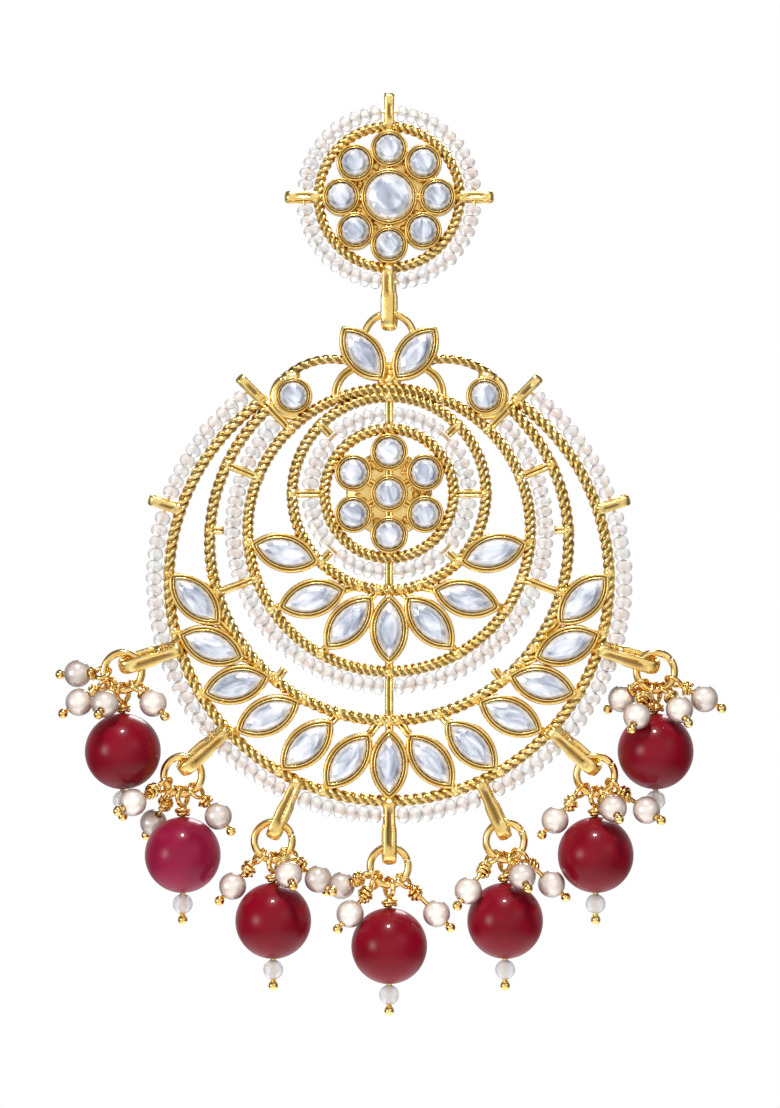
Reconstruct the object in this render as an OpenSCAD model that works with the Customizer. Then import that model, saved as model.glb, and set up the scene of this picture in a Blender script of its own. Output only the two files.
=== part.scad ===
// Chandbali earring: a round flower stud from which a crescent pendant hangs.
// The origin is where the ear post leaves the back of the stud. +Z is up, +X is to the
// viewer's right and the front faces -Y. All sizes are in millimetres.

/* [Stud] */
// Radius of the stud's rope ring, at the middle of its wire
stud_ring_r = 7.45; // [6.9:0.05:9]
// Thickness of the rope wire round the stud
stud_rope_d = 1.1; // [0.9:0.05:1.4]
// Diameter of the stone in the middle of the stud
stud_centre_d = 5; // [4.2:0.1:5.6]
// Diameter of the small round stones in the stud, the flower and the crown
round_stone_d = 3; // [2.5:0.1:3.2]
// Number of stones round the middle of the stud
stud_petals = 8; // [6:1:8]
// Diameter of the ear post
post_d = 0.9; // [0.7:0.05:1.2]
// Length of the ear post behind the stud
post_l = 11; // [9:0.5:13]

/* [Pendant rings] */
// Thickness of the rope wire in the pendant
drop_rope_d = 1.2; // [1:0.05:1.4]
// Radius of the outermost ring, the lower edge of the outer crescent
ring_1_r = 23.2; // [22.8:0.1:24.5]
// Height of the outer crescent below its upper edge, from wire to wire
outer_band_h = 8.46; // [8:0.02:9]
// Radius of the second ring, the upper edge of the outer crescent
ring_2_r = 18.9; // [18.6:0.1:19.3]
// Height of the open crescent that holds the middle bead string, from wire to wire
string_band_h = 5.16; // [4.6:0.02:5.8]
// Radius of the third ring
ring_3_r = 14.9; // [14.5:0.1:15.4]
// Radius of the fourth ring, round the beads of the flower
ring_4_r = 10.2; // [9.9:0.1:10.6]
// Distance between the tops of the third and the fourth ring, which are soldered together
ring_lap = 0.83; // [0.6:0.01:1]
// Radius of the fifth ring, round the flower
ring_5_r = 6.8; // [6.5:0.1:7]
// Width of the small bars between the rings
bar_w = 0.9; // [0.7:0.05:1.1]
// Length of the short pegs inside the rings
peg_l = 1.5; // [1.2:0.1:1.7]

/* [Settings] */
// Depth of the stone settings from back to rim
setting_h = 2; // [1.7:0.1:2.4]
// Thickness of the closed back of a setting
setting_back = 0.6; // [0.4:0.05:0.8]
// Thickness of the sheet that joins the round settings of a flower
web_t = 0.8; // [0.6:0.05:1]
// Depth that soldered parts sink into each other
solder_lap = 0.15; // [0.1:0.01:0.2]
// Wall of the settings round the pointed stones
pointed_wall = 0.6; // [0.45:0.05:0.7]
// Wall of the settings round the round stones
round_wall = 0.45; // [0.35:0.05:0.55]
// Length of the pointed stones
pointed_l = 6; // [5.6:0.1:6.4]
// Width of the pointed stones
pointed_w = 2.85; // [2.6:0.05:3]
// Length of the two pointed stones in the crown
crown_l = 5.7; // [5.2:0.1:6]
// Height of a stone's flat top above the rim of its setting
stone_rise = 0.45; // [0.3:0.05:0.7]
// Depth of a stone's upright edge below the rim
girdle_sink = 0.25; // [0.15:0.05:0.4]
// Width of a stone's flat top as a share of the stone
table_share = 0.56; // [0.4:0.02:0.7]
// Gap between a stone and its setting
stone_gap = 0.05; // [0.03:0.01:0.08]

/* [Crown] */
// Radius of the wire arch that hangs in the stud's loop, at the middle of its wire
arch_r = 2.6; // [2.4:0.05:3]
// Thickness of the arch wire
arch_wire_d = 0.8; // [0.6:0.05:0.9]
// Height of the arch's middle above the top of the third ring
arch_h = 5.3; // [5:0.1:5.6]
// Lean of the crown's pointed stones from upright, in degrees
crown_lean = 38; // [34:1:42]
// Distance of the crown's pointed stones from the middle line
crown_half_w = 2.76; // [2.6:0.02:2.9]
// Height of the crown's pointed stones above the top of the third ring
crown_h = 3.68; // [3.5:0.02:3.9]
// Thickness of the scroll wires
scroll_d = 0.95; // [0.7:0.05:1.05]
// Height of the bow of the long scrolls
scroll_bow = 1.15; // [0.9:0.05:1.3]
// Height of the bow of the leaf scrolls
leaf_bow = 0.75; // [0.6:0.05:1]
// Thickness of the long scrolls' ends that curl round the round settings
curl_d = 1.1; // [1:0.05:1.2]
// Width of the solder between a long scroll and its round setting
scroll_solder_w = 2; // [1.6:0.1:2.2]
// Degrees from the top of the third ring of the crown's round stones
crown_round_at = 35.5; // [34.5:0.5:36]
// Degrees from the top of the third ring of the feet of the leaf scrolls
leaf_foot_at = 22; // [20:0.5:24]
// Degrees from upright of the long scrolls' ends on the round settings
scroll_end_at = 45; // [20:1:60]

/* [Eyelets] */
// Width of the short eyelets as seen from the front
eye_w = 1.1; // [0.9:0.05:1.3]
// Width of the long eyelets as seen from the front
long_eye_w = 1.5; // [1.3:0.05:1.6]
// Length of the long eyelets from the middle of the rope wire
long_eye_l = 6.7; // [6.2:0.1:7.4]
// Length of the loop under the stud from the middle of the rope wire
hang_eye_l = 6.65; // [6.3:0.05:7.2]
// Length of the short eyelets from the middle of the rope wire
short_eye_l = 3.6; // [3.2:0.1:4]
// Metal at the end of a long eyelet
eye_end = 0.9; // [0.7:0.05:1.1]
// Metal at the end of the loop under the stud
hang_end = 1.2; // [1:0.05:1.3]
// Side wall of the long eyelets
eye_side = 0.65; // [0.5:0.05:0.8]
// Diameter of the thread holes
thread_hole_d = 0.7; // [0.5:0.05:0.8]

/* [Beads and drops] */
// Diameter of the seed beads
seed_d = 1.6; // [1.4:0.05:1.7]
// Gap between the seed beads and the rope wire
seed_gap = 0.2; // [0.12:0.02:0.3]
// Radius of the jump rings, at the middle of their wire
jump_r = 2; // [1.9:0.05:2.3]
// Thickness of the jump ring wire
jump_wire_d = 0.8; // [0.6:0.05:0.85]
// Diameter of the large red beads
red_d = 8; // [7.2:0.1:8.4]
// Diameter of the hole through the red beads
red_hole_d = 1; // [0.8:0.05:1.4]
// Diameter of the pearl below each red bead
tip_pearl_d = 2.1; // [1.8:0.05:2.3]
// Diameter of the clustered pearls
pearl_d = 2.9; // [2.6:0.05:3]
// Diameter of the hole through the pearls
pearl_hole_d = 0.8; // [0.7:0.05:0.9]
// Diameter of the gold ball at the end of each pin
pin_ball_d = 1.05; // [0.95:0.05:1.15]
// Thickness of the wire of the pins that carry the red beads
pin_wire_d = 0.45; // [0.35:0.05:0.5]
// Thickness of the wire of the pins that carry the pearls
pearl_wire_d = 0.36; // [0.3:0.02:0.42]
// Radius of the eyes of the red beads' pins, at the middle of their wire
pin_eye_r = 0.95; // [0.9:0.05:1.05]
// Radius of the eyes of the pearls' pins, at the middle of their wire
pearl_eye_r = 0.85; // [0.8:0.02:0.9]
// Bare wire between a pin's eye and the red bead
pin_neck = 1; // [0.7:0.1:1.4]
// Gap between hanging pieces
hang_gap = 0.1; // [0.06:0.02:0.12]

/* [Hidden] */
$fn = 64;
// Pointed stones of the outer crescent, one row each side: degrees from straight down where the
// setting meets the outermost ring, the same where it meets the second ring, share of the way out
OUTER_STONES = [
    [0, 0, 0.54], [17.5, 2.7, 0.57], [30, 16, 0.54], [46, 28.5, 0.49],
    [59, 41.5, 0.49], [76.5, 47, 0.56], [92, 53.5, 0.65]];
// Pointed stones of the inner crescent: the same columns for the third and the fourth ring
INNER_STONES = [[0, 0, 0.48], [29, 6.5, 0.51], [56, 18, 0.54], [85, 44, 0.5]];
// Degrees from straight down of the eyelets that carry the drops
DROP_AT = [-72.3, -47.6, -24.5, 0, 24.5, 47.6, 72.3];
// Pearls round each drop: number of the drop, degrees from straight down round the jump ring,
// distance from the ring's middle as a share of the way to the red bead, side (1 back, -1 front)
// and the least that the pearl lies to that side, as a share of its diameter
PEARLS = [
    [0, -87, 0.58, 1, 0.4], [0, -55, 0.67, 1, 0], [0, -27, 0.44, -1, 0.9], [0, 45, 0.55, -1, 0.45],
    [1, -62, 0.68, -1, 0.95], [1, -32, 0.74, 1, 0.5], [1, 41, 0.68, -1, 0],
    [2, -42, 0.76, 1, 0], [2, 27, 0.44, -1, 0.9], [2, 51, 0.73, -1, 0.55],
    [3, -40, 0.76, -1, 0], [3, -66, 0.66, 1, 0.75], [3, 45, 0.84, 1, 0],
    [4, -38, 0.76, -1, 0], [4, 47, 0.8, 1, 0.2], [4, 26, 0.46, -1, 0.9],
    [5, -42, 0.76, 1, 0], [5, 27, 0.44, -1, 0.9], [5, 56, 0.74, -1, 0.95],
    [6, -50, 0.54, 1, 0.5], [6, -26, 0.6, -1, 0], [6, 31, 0.54, -1, 0], [6, 61, 0.7, 1, 0]];
// Degrees from the top of the third ring of the bars that cross to the second ring
MIDDLE_BARS = [68, 110];
// Degrees from the top of the third ring of the pegs inside the second ring
MIDDLE_PEGS = [90, 143];
// Degrees from straight down of the short eyelets at the sides of the outermost ring
SIDE_EYE = 108.8;
// Degrees from the top of the third ring of the crescents' ends
END_AT = 44.5;
// Degrees from upright of the solder under the long scrolls, round the crown's round stones
SCROLL_SOLDER_AT = 8;
// Degrees that a long scroll's curl starts before the bow's end, and runs past straight down
CURL_LAP = 10;
CURL_END = 15;
FLOWER_PETALS = 6;
// Number of bars and pegs in turn round the flower
FLOWER_STOPS = 8;
TUBE_SIDES = 8;
TUBE_STEP = 2.6;
STONE_SIDES = 12;

// Depths, from the flat back at 0 to the front
mid_y = -setting_h / 2;
bar_t = bar_w;
table_y = -(setting_h + stone_rise);
girdle_y = -(setting_h - girdle_sink);
stone_back_y = -(setting_back + stone_gap);

// Height of the arch wire where it rests in the loop under the stud
arch_in_r = arch_r - arch_wire_d / 2;
arch_seat = arch_in_r - sqrt(arch_in_r * arch_in_r - long_eye_w * long_eye_w / 4) + hang_gap;
pivot_z = -(stud_ring_r + hang_eye_l - hang_end) + arch_seat + arch_wire_d / 2;
arch_z = pivot_z - arch_r;

// Middles of the pendant's rings
top_z = arch_z - arch_h;
ring_3_z = top_z - ring_3_r;
ring_4_z = top_z - ring_lap - ring_4_r;
ring_2_z = ring_3_z - ring_3_r - string_band_h + ring_2_r;
ring_1_z = ring_2_z - ring_2_r - outer_band_h + ring_1_r;

// Circles that the stones of the stud and the flower stand on
round_setting_r = round_stone_d / 2 + stone_gap + round_wall;
stud_petal_r = stud_ring_r - stud_rope_d / 2 - round_setting_r + solder_lap;
flower_petal_r = ring_5_r - drop_rope_d / 2 - round_setting_r + solder_lap;
crown_round_r = ring_3_r + drop_rope_d / 2 + round_setting_r - solder_lap;

// Circles that the seed beads lie on
stud_string_r = stud_ring_r + stud_rope_d / 2 + seed_gap + seed_d / 2;
flower_string_r = ring_5_r + drop_rope_d / 2 + seed_gap + seed_d / 2;
middle_string_r = ring_3_r + drop_rope_d / 2 + seed_gap + seed_d / 2;
outer_string_r = ring_1_r + drop_rope_d / 2 + seed_gap + seed_d / 2;
middle_peg_r = middle_string_r + seed_d / 2 + seed_gap / 2;

// Drops
eye_corner = norm([eye_end / 2, long_eye_w / 2]);
jump_sink = jump_r - jump_wire_d / 2 - eye_corner - hang_gap;
red_drop = jump_r + eye_middle(pin_wire_d, pin_eye_r) + pin_eye_r + pin_wire_d / 2 + pin_neck + red_d / 2;
tip_pearl_drop = red_d / 2 + hang_gap + tip_pearl_d / 2;
pin_ball_drop = tip_pearl_drop + tip_pearl_d / 2 + hang_gap + pin_ball_d / 2;

// Distance from a jump ring's wire to the middle of a pin's eye that hangs on it
function eye_middle(wire_d, eye_r) = eye_r - wire_d / 2 - jump_wire_d / 2 - hang_gap;

function down(a) = [sin(a), -cos(a)];
function ring_point(z, r, a) = [0, z] + r * down(a);
function mix(a, b, share) = a + (b - a) * share;
// Distance from a point, along a unit direction, to a circle round [0, z] that holds the point
function reach(p, d, z, r) =
    let (q = p - [0, z], b = q * d)
    -b + sqrt(b * b - q * q + r * r);
// Angle from straight down of a point seen from [0, z]
function seen_at(p, z) = atan2(p[0], z - p[1]);

// The two ends of a pointed stone's setting, its middle and its turn
function stone_foot(row, s, r_in, z_in) = ring_point(z_in, r_in, s * row[1]);
function stone_tip(row, s, r_out, z_out) = ring_point(z_out, r_out, s * row[0]);
function turn(a, b) = atan2(b[1] - a[1], b[0] - a[0]) - 90;

// Where the crescents end, on the line from the third ring's middle
end_dir = down(180 - END_AT);
end_point_1 = [0, ring_3_z] + end_dir * reach([0, ring_3_z], end_dir, ring_1_z, ring_1_r);
end_point_2 = [0, ring_3_z] + end_dir * reach([0, ring_3_z], end_dir, ring_2_z, ring_2_r);
end_1 = seen_at(end_point_1, ring_1_z);
end_2 = seen_at(end_point_2, ring_2_z);
end_eye_r = norm(end_point_1 - [0, ring_3_z]);

// Middle of each jump ring, which hangs from the end of its eyelet
function jump_at(i) = ring_point(ring_1_z, ring_1_r + long_eye_l - eye_end / 2, DROP_AT[i]) - [0, jump_sink];

// How far a clustered pearl lies in front of or behind its ring, so that it clears the red bead
function pearl_y(row) =
    let (flat = norm(red_drop * [0, -1] - red_drop * row[2] * down(row[1])),
         clear = red_d / 2 + pearl_d / 2 + hang_gap)
    row[3] * max(row[4] * pearl_d, sqrt(max(0, clear * clear - flat * flat)));

// Numbers of the pointed stones, from the left end of the crescent to its right end
outer_side = len(OUTER_STONES) - 1;
inner_side = len(INNER_STONES) - 1;

// Stands a drawing in the XZ plane and gives it depth from y towards the front
module face(y, depth) {
    translate([0, y, 0])
        rotate([90, 0, 0])
            linear_extrude(height = depth)
                children();
}

// Round wire bent to a circle or to an arc between two angles from straight down
module ring_wire(r, wire_d, from = 0, to = 360) {
    translate([0, mid_y, 0])
        rotate([90, 0, 0])
            rotate([0, 0, from - 90])
                rotate_extrude(angle = to - from)
                    translate([r, 0])
                        circle(d = wire_d);
}

// Wire bent to a bow from a to b, which lies to the left of a
module bow_wire(a, b, bow, wire_d) {
    half = norm(b - a) / 2;
    r = (half * half + bow * bow) / (2 * bow);
    left = [a[1] - b[1], b[0] - a[0]] / (2 * half);
    centre = (a + b) / 2 + left * (r - bow);
    from = atan2(a[0] - centre[0], centre[1] - a[1]);
    span = 2 * asin(half / r);
    translate([centre[0], 0, centre[1]])
        ring_wire(r, wire_d, from, from + span);
}

// Flat bar from a to b in the XZ plane
module bar(a, b, w, t) {
    translate([a[0], mid_y, a[1]])
        rotate([0, -turn(a, b), 0])
            translate([-w / 2, -t / 2, 0])
                cube([w, t, norm(b - a)]);
}

// Outline of a pointed stone that is l long and w wide, grown by grow
module pointed(l, w, grow) {
    r = (l * l + w * w) / (4 * w);
    intersection() {
        translate([r - w / 2, 0])
            circle(r = r + grow, $fn = 96);
        translate([w / 2 - r, 0])
            circle(r = r + grow, $fn = 96);
    }
}

function pointed_points(l, w) =
    let (r = (l * l + w * w) / (4 * w), half = asin(l / 2 / r), n = STONE_SIDES / 2)
    [for (s = [1, -1], i = [0 : n - 1])
        let (t = -half + 2 * half * i / n)
        s * [w / 2 - r + r * cos(t), r * sin(t)]];
function round_points(d) = [for (i = [0 : STONE_SIDES - 1]) d / 2 * down(i * 360 / STONE_SIDES)];

// Cut stone over an outline: upright edge, sloping facets and a flat top facing the front
module cut_stone(outline) {
    n = len(outline);
    levels = [[stone_back_y, 1], [girdle_y, 1], [table_y, table_share]];
    points = [for (level = levels, p = outline) [p[0] * level[1], level[0], p[1] * level[1]]];
    sides = [for (k = [0, 1], i = [0 : n - 1])
        [k * n + i, k * n + (i + 1) % n, (k + 1) * n + (i + 1) % n, (k + 1) * n + i]];
    back = [[for (i = [n - 1 : -1 : 0]) i]];
    top = [[for (i = [0 : n - 1]) 2 * n + i]];
    polyhedron(points, concat(sides, back, top));
}

// Tube along an arc round [0, z], between two angles from straight down
module arc_tube(z, r, from, to) {
    steps = max(2, ceil((to - from) / 360 * 2 * PI * r / (TUBE_STEP * seed_d)));
    // The corners lie outside the arc as far as the middles of the straight runs lie inside it
    corner_r = 2 * r / (1 + cos((to - from) / steps / 2));
    points = [for (i = [0 : steps], j = [0 : TUBE_SIDES - 1])
        let (a = from + (to - from) * i / steps, b = 360 * j / TUBE_SIDES,
             p = ring_point(z, corner_r + seed_d / 2 * cos(b), a))
        [p[0], mid_y + seed_d / 2 * sin(b), p[1]]];
    sides = [for (i = [0 : steps - 1], j = [0 : TUBE_SIDES - 1])
        let (k = (j + 1) % TUBE_SIDES)
        [i * TUBE_SIDES + j, (i + 1) * TUBE_SIDES + j, (i + 1) * TUBE_SIDES + k, i * TUBE_SIDES + k]];
    ends = [[for (j = [0 : TUBE_SIDES - 1]) j],
        [for (j = [TUBE_SIDES - 1 : -1 : 0]) steps * TUBE_SIDES + j]];
    polyhedron(points, concat(sides, ends));
}

// String of tubes between stops round [0, z], each stop left clear by a bar's width
module string_tubes(z, r, stops, stop_w) {
    clear = asin((stop_w / 2 + seed_gap) / r);
    for (i = [0 : len(stops) - 2])
        arc_tube(z, r, stops[i] + clear, stops[i + 1] - clear);
}

// Long eyelet that points down from the middle of a rope wire and holds a ring of wire_d
module long_eye(l, end, wire_d, rope_d) {
    inner = wire_d / 2 + 2 * hang_gap;
    outer = inner + eye_side;
    hole_from = rope_d / 2 + seed_d + 2 * seed_gap + inner;
    translate([-long_eye_w / 2, mid_y, 0])
        rotate([0, 90, 0])
            linear_extrude(height = long_eye_w)
                difference() {
                    union() {
                        translate([0, -outer])
                            square([l - outer, 2 * outer]);
                        translate([l - outer, 0])
                            circle(r = outer);
                    }
                    translate([rope_d / 2 + seed_gap + seed_d / 2, 0])
                        circle(d = thread_hole_d);
                    translate([hole_from, -inner])
                        square([l - end - inner - hole_from, 2 * inner]);
                    translate([hole_from, 0])
                        circle(r = inner);
                    translate([l - end - inner, 0])
                        circle(r = inner);
                }
}

// Short eyelet with a round tip, for the seed beads' thread alone
module short_eye(rope_d) {
    half = thread_hole_d / 2 + eye_side / 2;
    translate([-eye_w / 2, mid_y, 0])
        rotate([0, 90, 0])
            linear_extrude(height = eye_w)
                difference() {
                    union() {
                        translate([0, -half])
                            square([short_eye_l - half, 2 * half]);
                        translate([short_eye_l - half, 0])
                            circle(r = half);
                    }
                    translate([rope_d / 2 + seed_gap + seed_d / 2, 0])
                        circle(d = thread_hole_d);
                }
}

// Puts a piece at a distance from [0, z], turned to point away from it
module outward(z, r, a) {
    translate([0, 0, z])
        rotate([0, -a, 0])
            translate([0, 0, -r])
                children();
}

// Places of the pointed stones of one crescent
module pointed_place(rows, i, r_out, z_out, r_in, z_in) {
    row = rows[abs(i)];
    foot = stone_foot(row, sign(i), r_in, z_in);
    tip = stone_tip(row, sign(i), r_out, z_out);
    middle = mix(foot, tip, row[2]);
    translate([middle[0], 0, middle[1]])
        rotate([0, -turn(foot, tip), 0])
            children();
}
module outer_place(i) { pointed_place(OUTER_STONES, i, ring_1_r, ring_1_z, ring_2_r, ring_2_z) children(); }
module inner_place(i) { pointed_place(INNER_STONES, i, ring_3_r, ring_3_z, ring_4_r, ring_4_z) children(); }
module crown_pointed_place(s) {
    translate([s * crown_half_w, 0, top_z + crown_h])
        rotate([0, s * crown_lean, 0])
            children();
}
module crown_round_place(s) { outward(ring_3_z, crown_round_r, s * (180 - crown_round_at)) children(); }

// Solid body of a setting, and the pocket that its stone lies in
module pointed_setting(l) { face(0, setting_h) pointed(l, pointed_w, stone_gap + pointed_wall); }
module round_setting(d) { face(0, setting_h) circle(d = d + 2 * (stone_gap + round_wall)); }
module pointed_pocket(l) { face(-setting_back, setting_h) pointed(l, pointed_w, stone_gap); }
module round_pocket(d) { face(-setting_back, setting_h) circle(d = d + 2 * stone_gap); }

module petal_places(z, r, count) {
    for (i = [0 : count - 1])
        outward(z, r, i * 360 / count)
            children();
}

module stud_frame() {
    color("goldenrod")
        difference() {
            union() {
                ring_wire(stud_ring_r, stud_rope_d);
                face(0, web_t)
                    circle(r = stud_petal_r);
                round_setting(stud_centre_d);
                petal_places(0, stud_petal_r, stud_petals)
                    round_setting(round_stone_d);
                for (i = [0 : stud_petals - 1])
                    bar([0, 0], stud_ring_r * down(i * 360 / stud_petals), bar_w, bar_t);
                for (a = [90, 180, 270])
                    outward(0, stud_ring_r, a)
                        short_eye(stud_rope_d);
                translate([0, 0, -stud_ring_r])
                    long_eye(hang_eye_l, hang_end, arch_wire_d, stud_rope_d);
                translate([0, -setting_back / 2, 0])
                    rotate([-90, 0, 0])
                        cylinder(d = post_d, h = post_l + setting_back / 2);
            }
            round_pocket(stud_centre_d);
            petal_places(0, stud_petal_r, stud_petals)
                round_pocket(round_stone_d);
        }
}

module stud_centre_stone() {
    color("lavender")
        cut_stone(round_points(stud_centre_d));
}

module stud_petal_stones() {
    color("lavender")
        petal_places(0, stud_petal_r, stud_petals)
            cut_stone(round_points(round_stone_d));
}

module stud_seed_string() {
    color("ivory")
        string_tubes(0, stud_string_r, [0, 90, 180, 270, 360], long_eye_w);
}

// Rope rings of the pendant
module drop_rings() {
    translate([0, 0, ring_1_z])
        ring_wire(ring_1_r, drop_rope_d, -end_1, end_1);
    translate([0, 0, ring_2_z])
        ring_wire(ring_2_r, drop_rope_d, -end_2, end_2);
    translate([0, 0, ring_3_z])
        ring_wire(ring_3_r, drop_rope_d);
    translate([0, 0, ring_4_z]) {
        ring_wire(ring_4_r, drop_rope_d);
        ring_wire(ring_5_r, drop_rope_d);
    }
}

// Bars that join the rings, pegs inside them and seats that carry the settings
module drop_bars() {
    for (i = [0 : FLOWER_STOPS - 1])
        let (a = i * 360 / FLOWER_STOPS, from = i % 2 == 0 ? ring_5_r : ring_4_r - peg_l)
            bar(ring_point(ring_4_z, from, a), ring_point(ring_4_z, ring_4_r, a), bar_w, bar_t);
    for (s = [-1, 1]) {
        for (a = MIDDLE_BARS)
            let (d = down(s * (180 - a)))
            bar([0, ring_3_z] + ring_3_r * d,
                [0, ring_3_z] + reach([0, ring_3_z], d, ring_2_z, ring_2_r) * d, bar_w, bar_t);
        for (a = MIDDLE_PEGS)
            let (d = down(s * (180 - a)), r = reach([0, ring_3_z], d, ring_2_z, ring_2_r))
                bar([0, ring_3_z] + max(r - peg_l, middle_peg_r) * d, [0, ring_3_z] + r * d, bar_w, bar_t);
        let (d = down(s * (180 - END_AT)))
            bar([0, ring_3_z] + ring_3_r * d, [0, ring_3_z] + end_eye_r * d, bar_w, bar_t);
    }
    bar(ring_point(ring_3_z, ring_3_r, 0), ring_point(ring_2_z, ring_2_r, 0), bar_w, bar_t);
    for (i = [-outer_side : outer_side])
        bar(stone_foot(OUTER_STONES[abs(i)], sign(i), ring_2_r, ring_2_z),
            stone_tip(OUTER_STONES[abs(i)], sign(i), ring_1_r, ring_1_z), bar_w, bar_t);
    for (i = [-inner_side : inner_side])
        bar(stone_foot(INNER_STONES[abs(i)], sign(i), ring_4_r, ring_4_z),
            stone_tip(INNER_STONES[abs(i)], sign(i), ring_3_r, ring_3_z), bar_w, bar_t);
    for (i = [0 : FLOWER_PETALS - 1])
        bar([0, ring_4_z], ring_point(ring_4_z, ring_5_r, i * 360 / FLOWER_PETALS), bar_w, bar_t);
}

// Arch, scrolls and solder of the crown
module crown_wires() {
    translate([0, 0, arch_z])
        ring_wire(arch_r, arch_wire_d);
    bar([0, top_z], [0, top_z + crown_h - crown_half_w], bar_w, setting_h / 2);
    for (s = [-1, 1]) {
        side = [s * crown_half_w, top_z + crown_h];
        out = [s * cos(crown_lean), -sin(crown_lean)];
        shoulder = side + out * pointed_w / 2;
        round_at = ring_point(ring_3_z, crown_round_r, s * (180 - crown_round_at));
        knee = round_at + round_setting_r * [s * sin(scroll_end_at), cos(scroll_end_at)];
        foot = shoulder - pointed_w / 4 * [s * sin(crown_lean), cos(crown_lean)];
        ground = ring_point(ring_3_z, ring_3_r, s * (180 - leaf_foot_at));
        if (s < 0) {
            bow_wire(shoulder, knee, scroll_bow, scroll_d);
            bow_wire(foot, ground, leaf_bow, scroll_d);
        } else {
            bow_wire(knee, shoulder, scroll_bow, scroll_d);
            bow_wire(ground, foot, leaf_bow, scroll_d);
        }
        curl_from = s * (180 - scroll_end_at + CURL_LAP);
        curl_to = -s * CURL_END;
        translate([round_at[0], 0, round_at[1]])
            ring_wire(round_setting_r, curl_d, min(curl_from, curl_to), max(curl_from, curl_to));
        bar(round_at, round_at + (round_setting_r + scroll_d / 2) * down(s * (180 - SCROLL_SOLDER_AT)),
            scroll_solder_w, setting_h - setting_back);
    }
}

module drop_frame() {
    color("goldenrod")
        difference() {
            union() {
                drop_rings();
                drop_bars();
                crown_wires();
                for (i = [-outer_side : outer_side])
                    outer_place(i)
                        pointed_setting(pointed_l);
                for (i = [-inner_side : inner_side])
                    inner_place(i)
                        pointed_setting(pointed_l);
                for (s = [-1, 1]) {
                    crown_pointed_place(s)
                        pointed_setting(crown_l);
                    crown_round_place(s)
                        round_setting(round_stone_d);
                    outward(ring_1_z, ring_1_r, s * SIDE_EYE)
                        short_eye(drop_rope_d);
                    outward(ring_3_z, end_eye_r, s * (180 - END_AT))
                        short_eye(drop_rope_d);
                }
                translate([0, 0, ring_4_z]) {
                    round_setting(round_stone_d);
                    face(0, web_t)
                        circle(r = flower_petal_r);
                }
                petal_places(ring_4_z, flower_petal_r, FLOWER_PETALS)
                    round_setting(round_stone_d);
                for (a = DROP_AT)
                    outward(ring_1_z, ring_1_r, a)
                        long_eye(long_eye_l, eye_end, jump_wire_d, drop_rope_d);
            }
            for (i = [-outer_side : outer_side])
                outer_place(i)
                    pointed_pocket(pointed_l);
            for (i = [-inner_side : inner_side])
                inner_place(i)
                    pointed_pocket(pointed_l);
            for (s = [-1, 1]) {
                crown_pointed_place(s)
                    pointed_pocket(crown_l);
                crown_round_place(s)
                    round_pocket(round_stone_d);
            }
            translate([0, 0, ring_4_z])
                round_pocket(round_stone_d);
            petal_places(ring_4_z, flower_petal_r, FLOWER_PETALS)
                round_pocket(round_stone_d);
        }
}

module flower_centre_stone() {
    color("lavender")
        translate([0, 0, ring_4_z])
            cut_stone(round_points(round_stone_d));
}

module flower_petal_stones() {
    color("lavender")
        petal_places(ring_4_z, flower_petal_r, FLOWER_PETALS)
            cut_stone(round_points(round_stone_d));
}

module crown_pointed_stone(s) {
    color("lavender")
        crown_pointed_place(s)
            cut_stone(pointed_points(crown_l, pointed_w));
}

module crown_round_stone(s) {
    color("lavender")
        crown_round_place(s)
            cut_stone(round_points(round_stone_d));
}

module inner_stone(i) {
    color("lavender")
        inner_place(i)
            cut_stone(pointed_points(pointed_l, pointed_w));
}

module outer_stone(i) {
    color("lavender")
        outer_place(i)
            cut_stone(pointed_points(pointed_l, pointed_w));
}

module flower_seed_string() {
    color("ivory")
        string_tubes(ring_4_z, flower_string_r, [for (i = [0 : FLOWER_STOPS]) i * 360 / FLOWER_STOPS], bar_w);
}

module middle_seed_string() {
    left = concat([END_AT - 180], [for (a = MIDDLE_BARS) a - 180]);
    right = [for (i = [len(left) - 1 : -1 : 0]) -left[i]];
    color("ivory")
        string_tubes(ring_3_z, middle_string_r, concat(left, [0], right), bar_w);
}

module outer_seed_string() {
    last_r = reach([0, ring_3_z], end_dir, ring_1_z, outer_string_r);
    last = seen_at([0, ring_3_z] + end_dir * last_r, ring_1_z);
    stops = concat([-last, -SIDE_EYE], DROP_AT, [SIDE_EYE, last]);
    color("ivory")
        string_tubes(ring_1_z, outer_string_r, stops, long_eye_w);
}

// Turns and places a pin's parts round the middle of a jump ring
module round_jump(i, a, lean) {
    at = jump_at(i);
    translate([at[0], mid_y, at[1]])
        rotate([0, -a, 0])
            translate([0, 0, -jump_r])
                rotate([lean, 0, 0])
                    children();
}

// Eye of a pin round the jump ring, its straight wire and the ball at its end
module pin(wire_d, eye_r, ball_at) {
    offset = eye_middle(wire_d, eye_r);
    translate([0, 0, -offset])
        rotate([0, 90, 0])
            rotate_extrude()
                translate([eye_r, 0])
                    circle(d = wire_d);
    translate([0, 0, -ball_at])
        cylinder(d = wire_d, h = ball_at - offset - eye_r);
    translate([0, 0, -ball_at])
        sphere(d = pin_ball_d);
}

module jump_ring(i) {
    at = jump_at(i);
    color("gold")
        translate([at[0], 0, at[1]])
            ring_wire(jump_r, jump_wire_d);
}

module red_bead(i) {
    color("crimson")
        round_jump(i, 0, 0)
            translate([0, 0, jump_r - red_drop])
                difference() {
                    sphere(d = red_d);
                    cylinder(d = red_hole_d, h = 2 * red_d, center = true);
                }
}

module bead_pin(i) {
    color("gold")
        round_jump(i, 0, 0)
            pin(pin_wire_d, pin_eye_r, red_drop - jump_r + pin_ball_drop);
}

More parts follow.
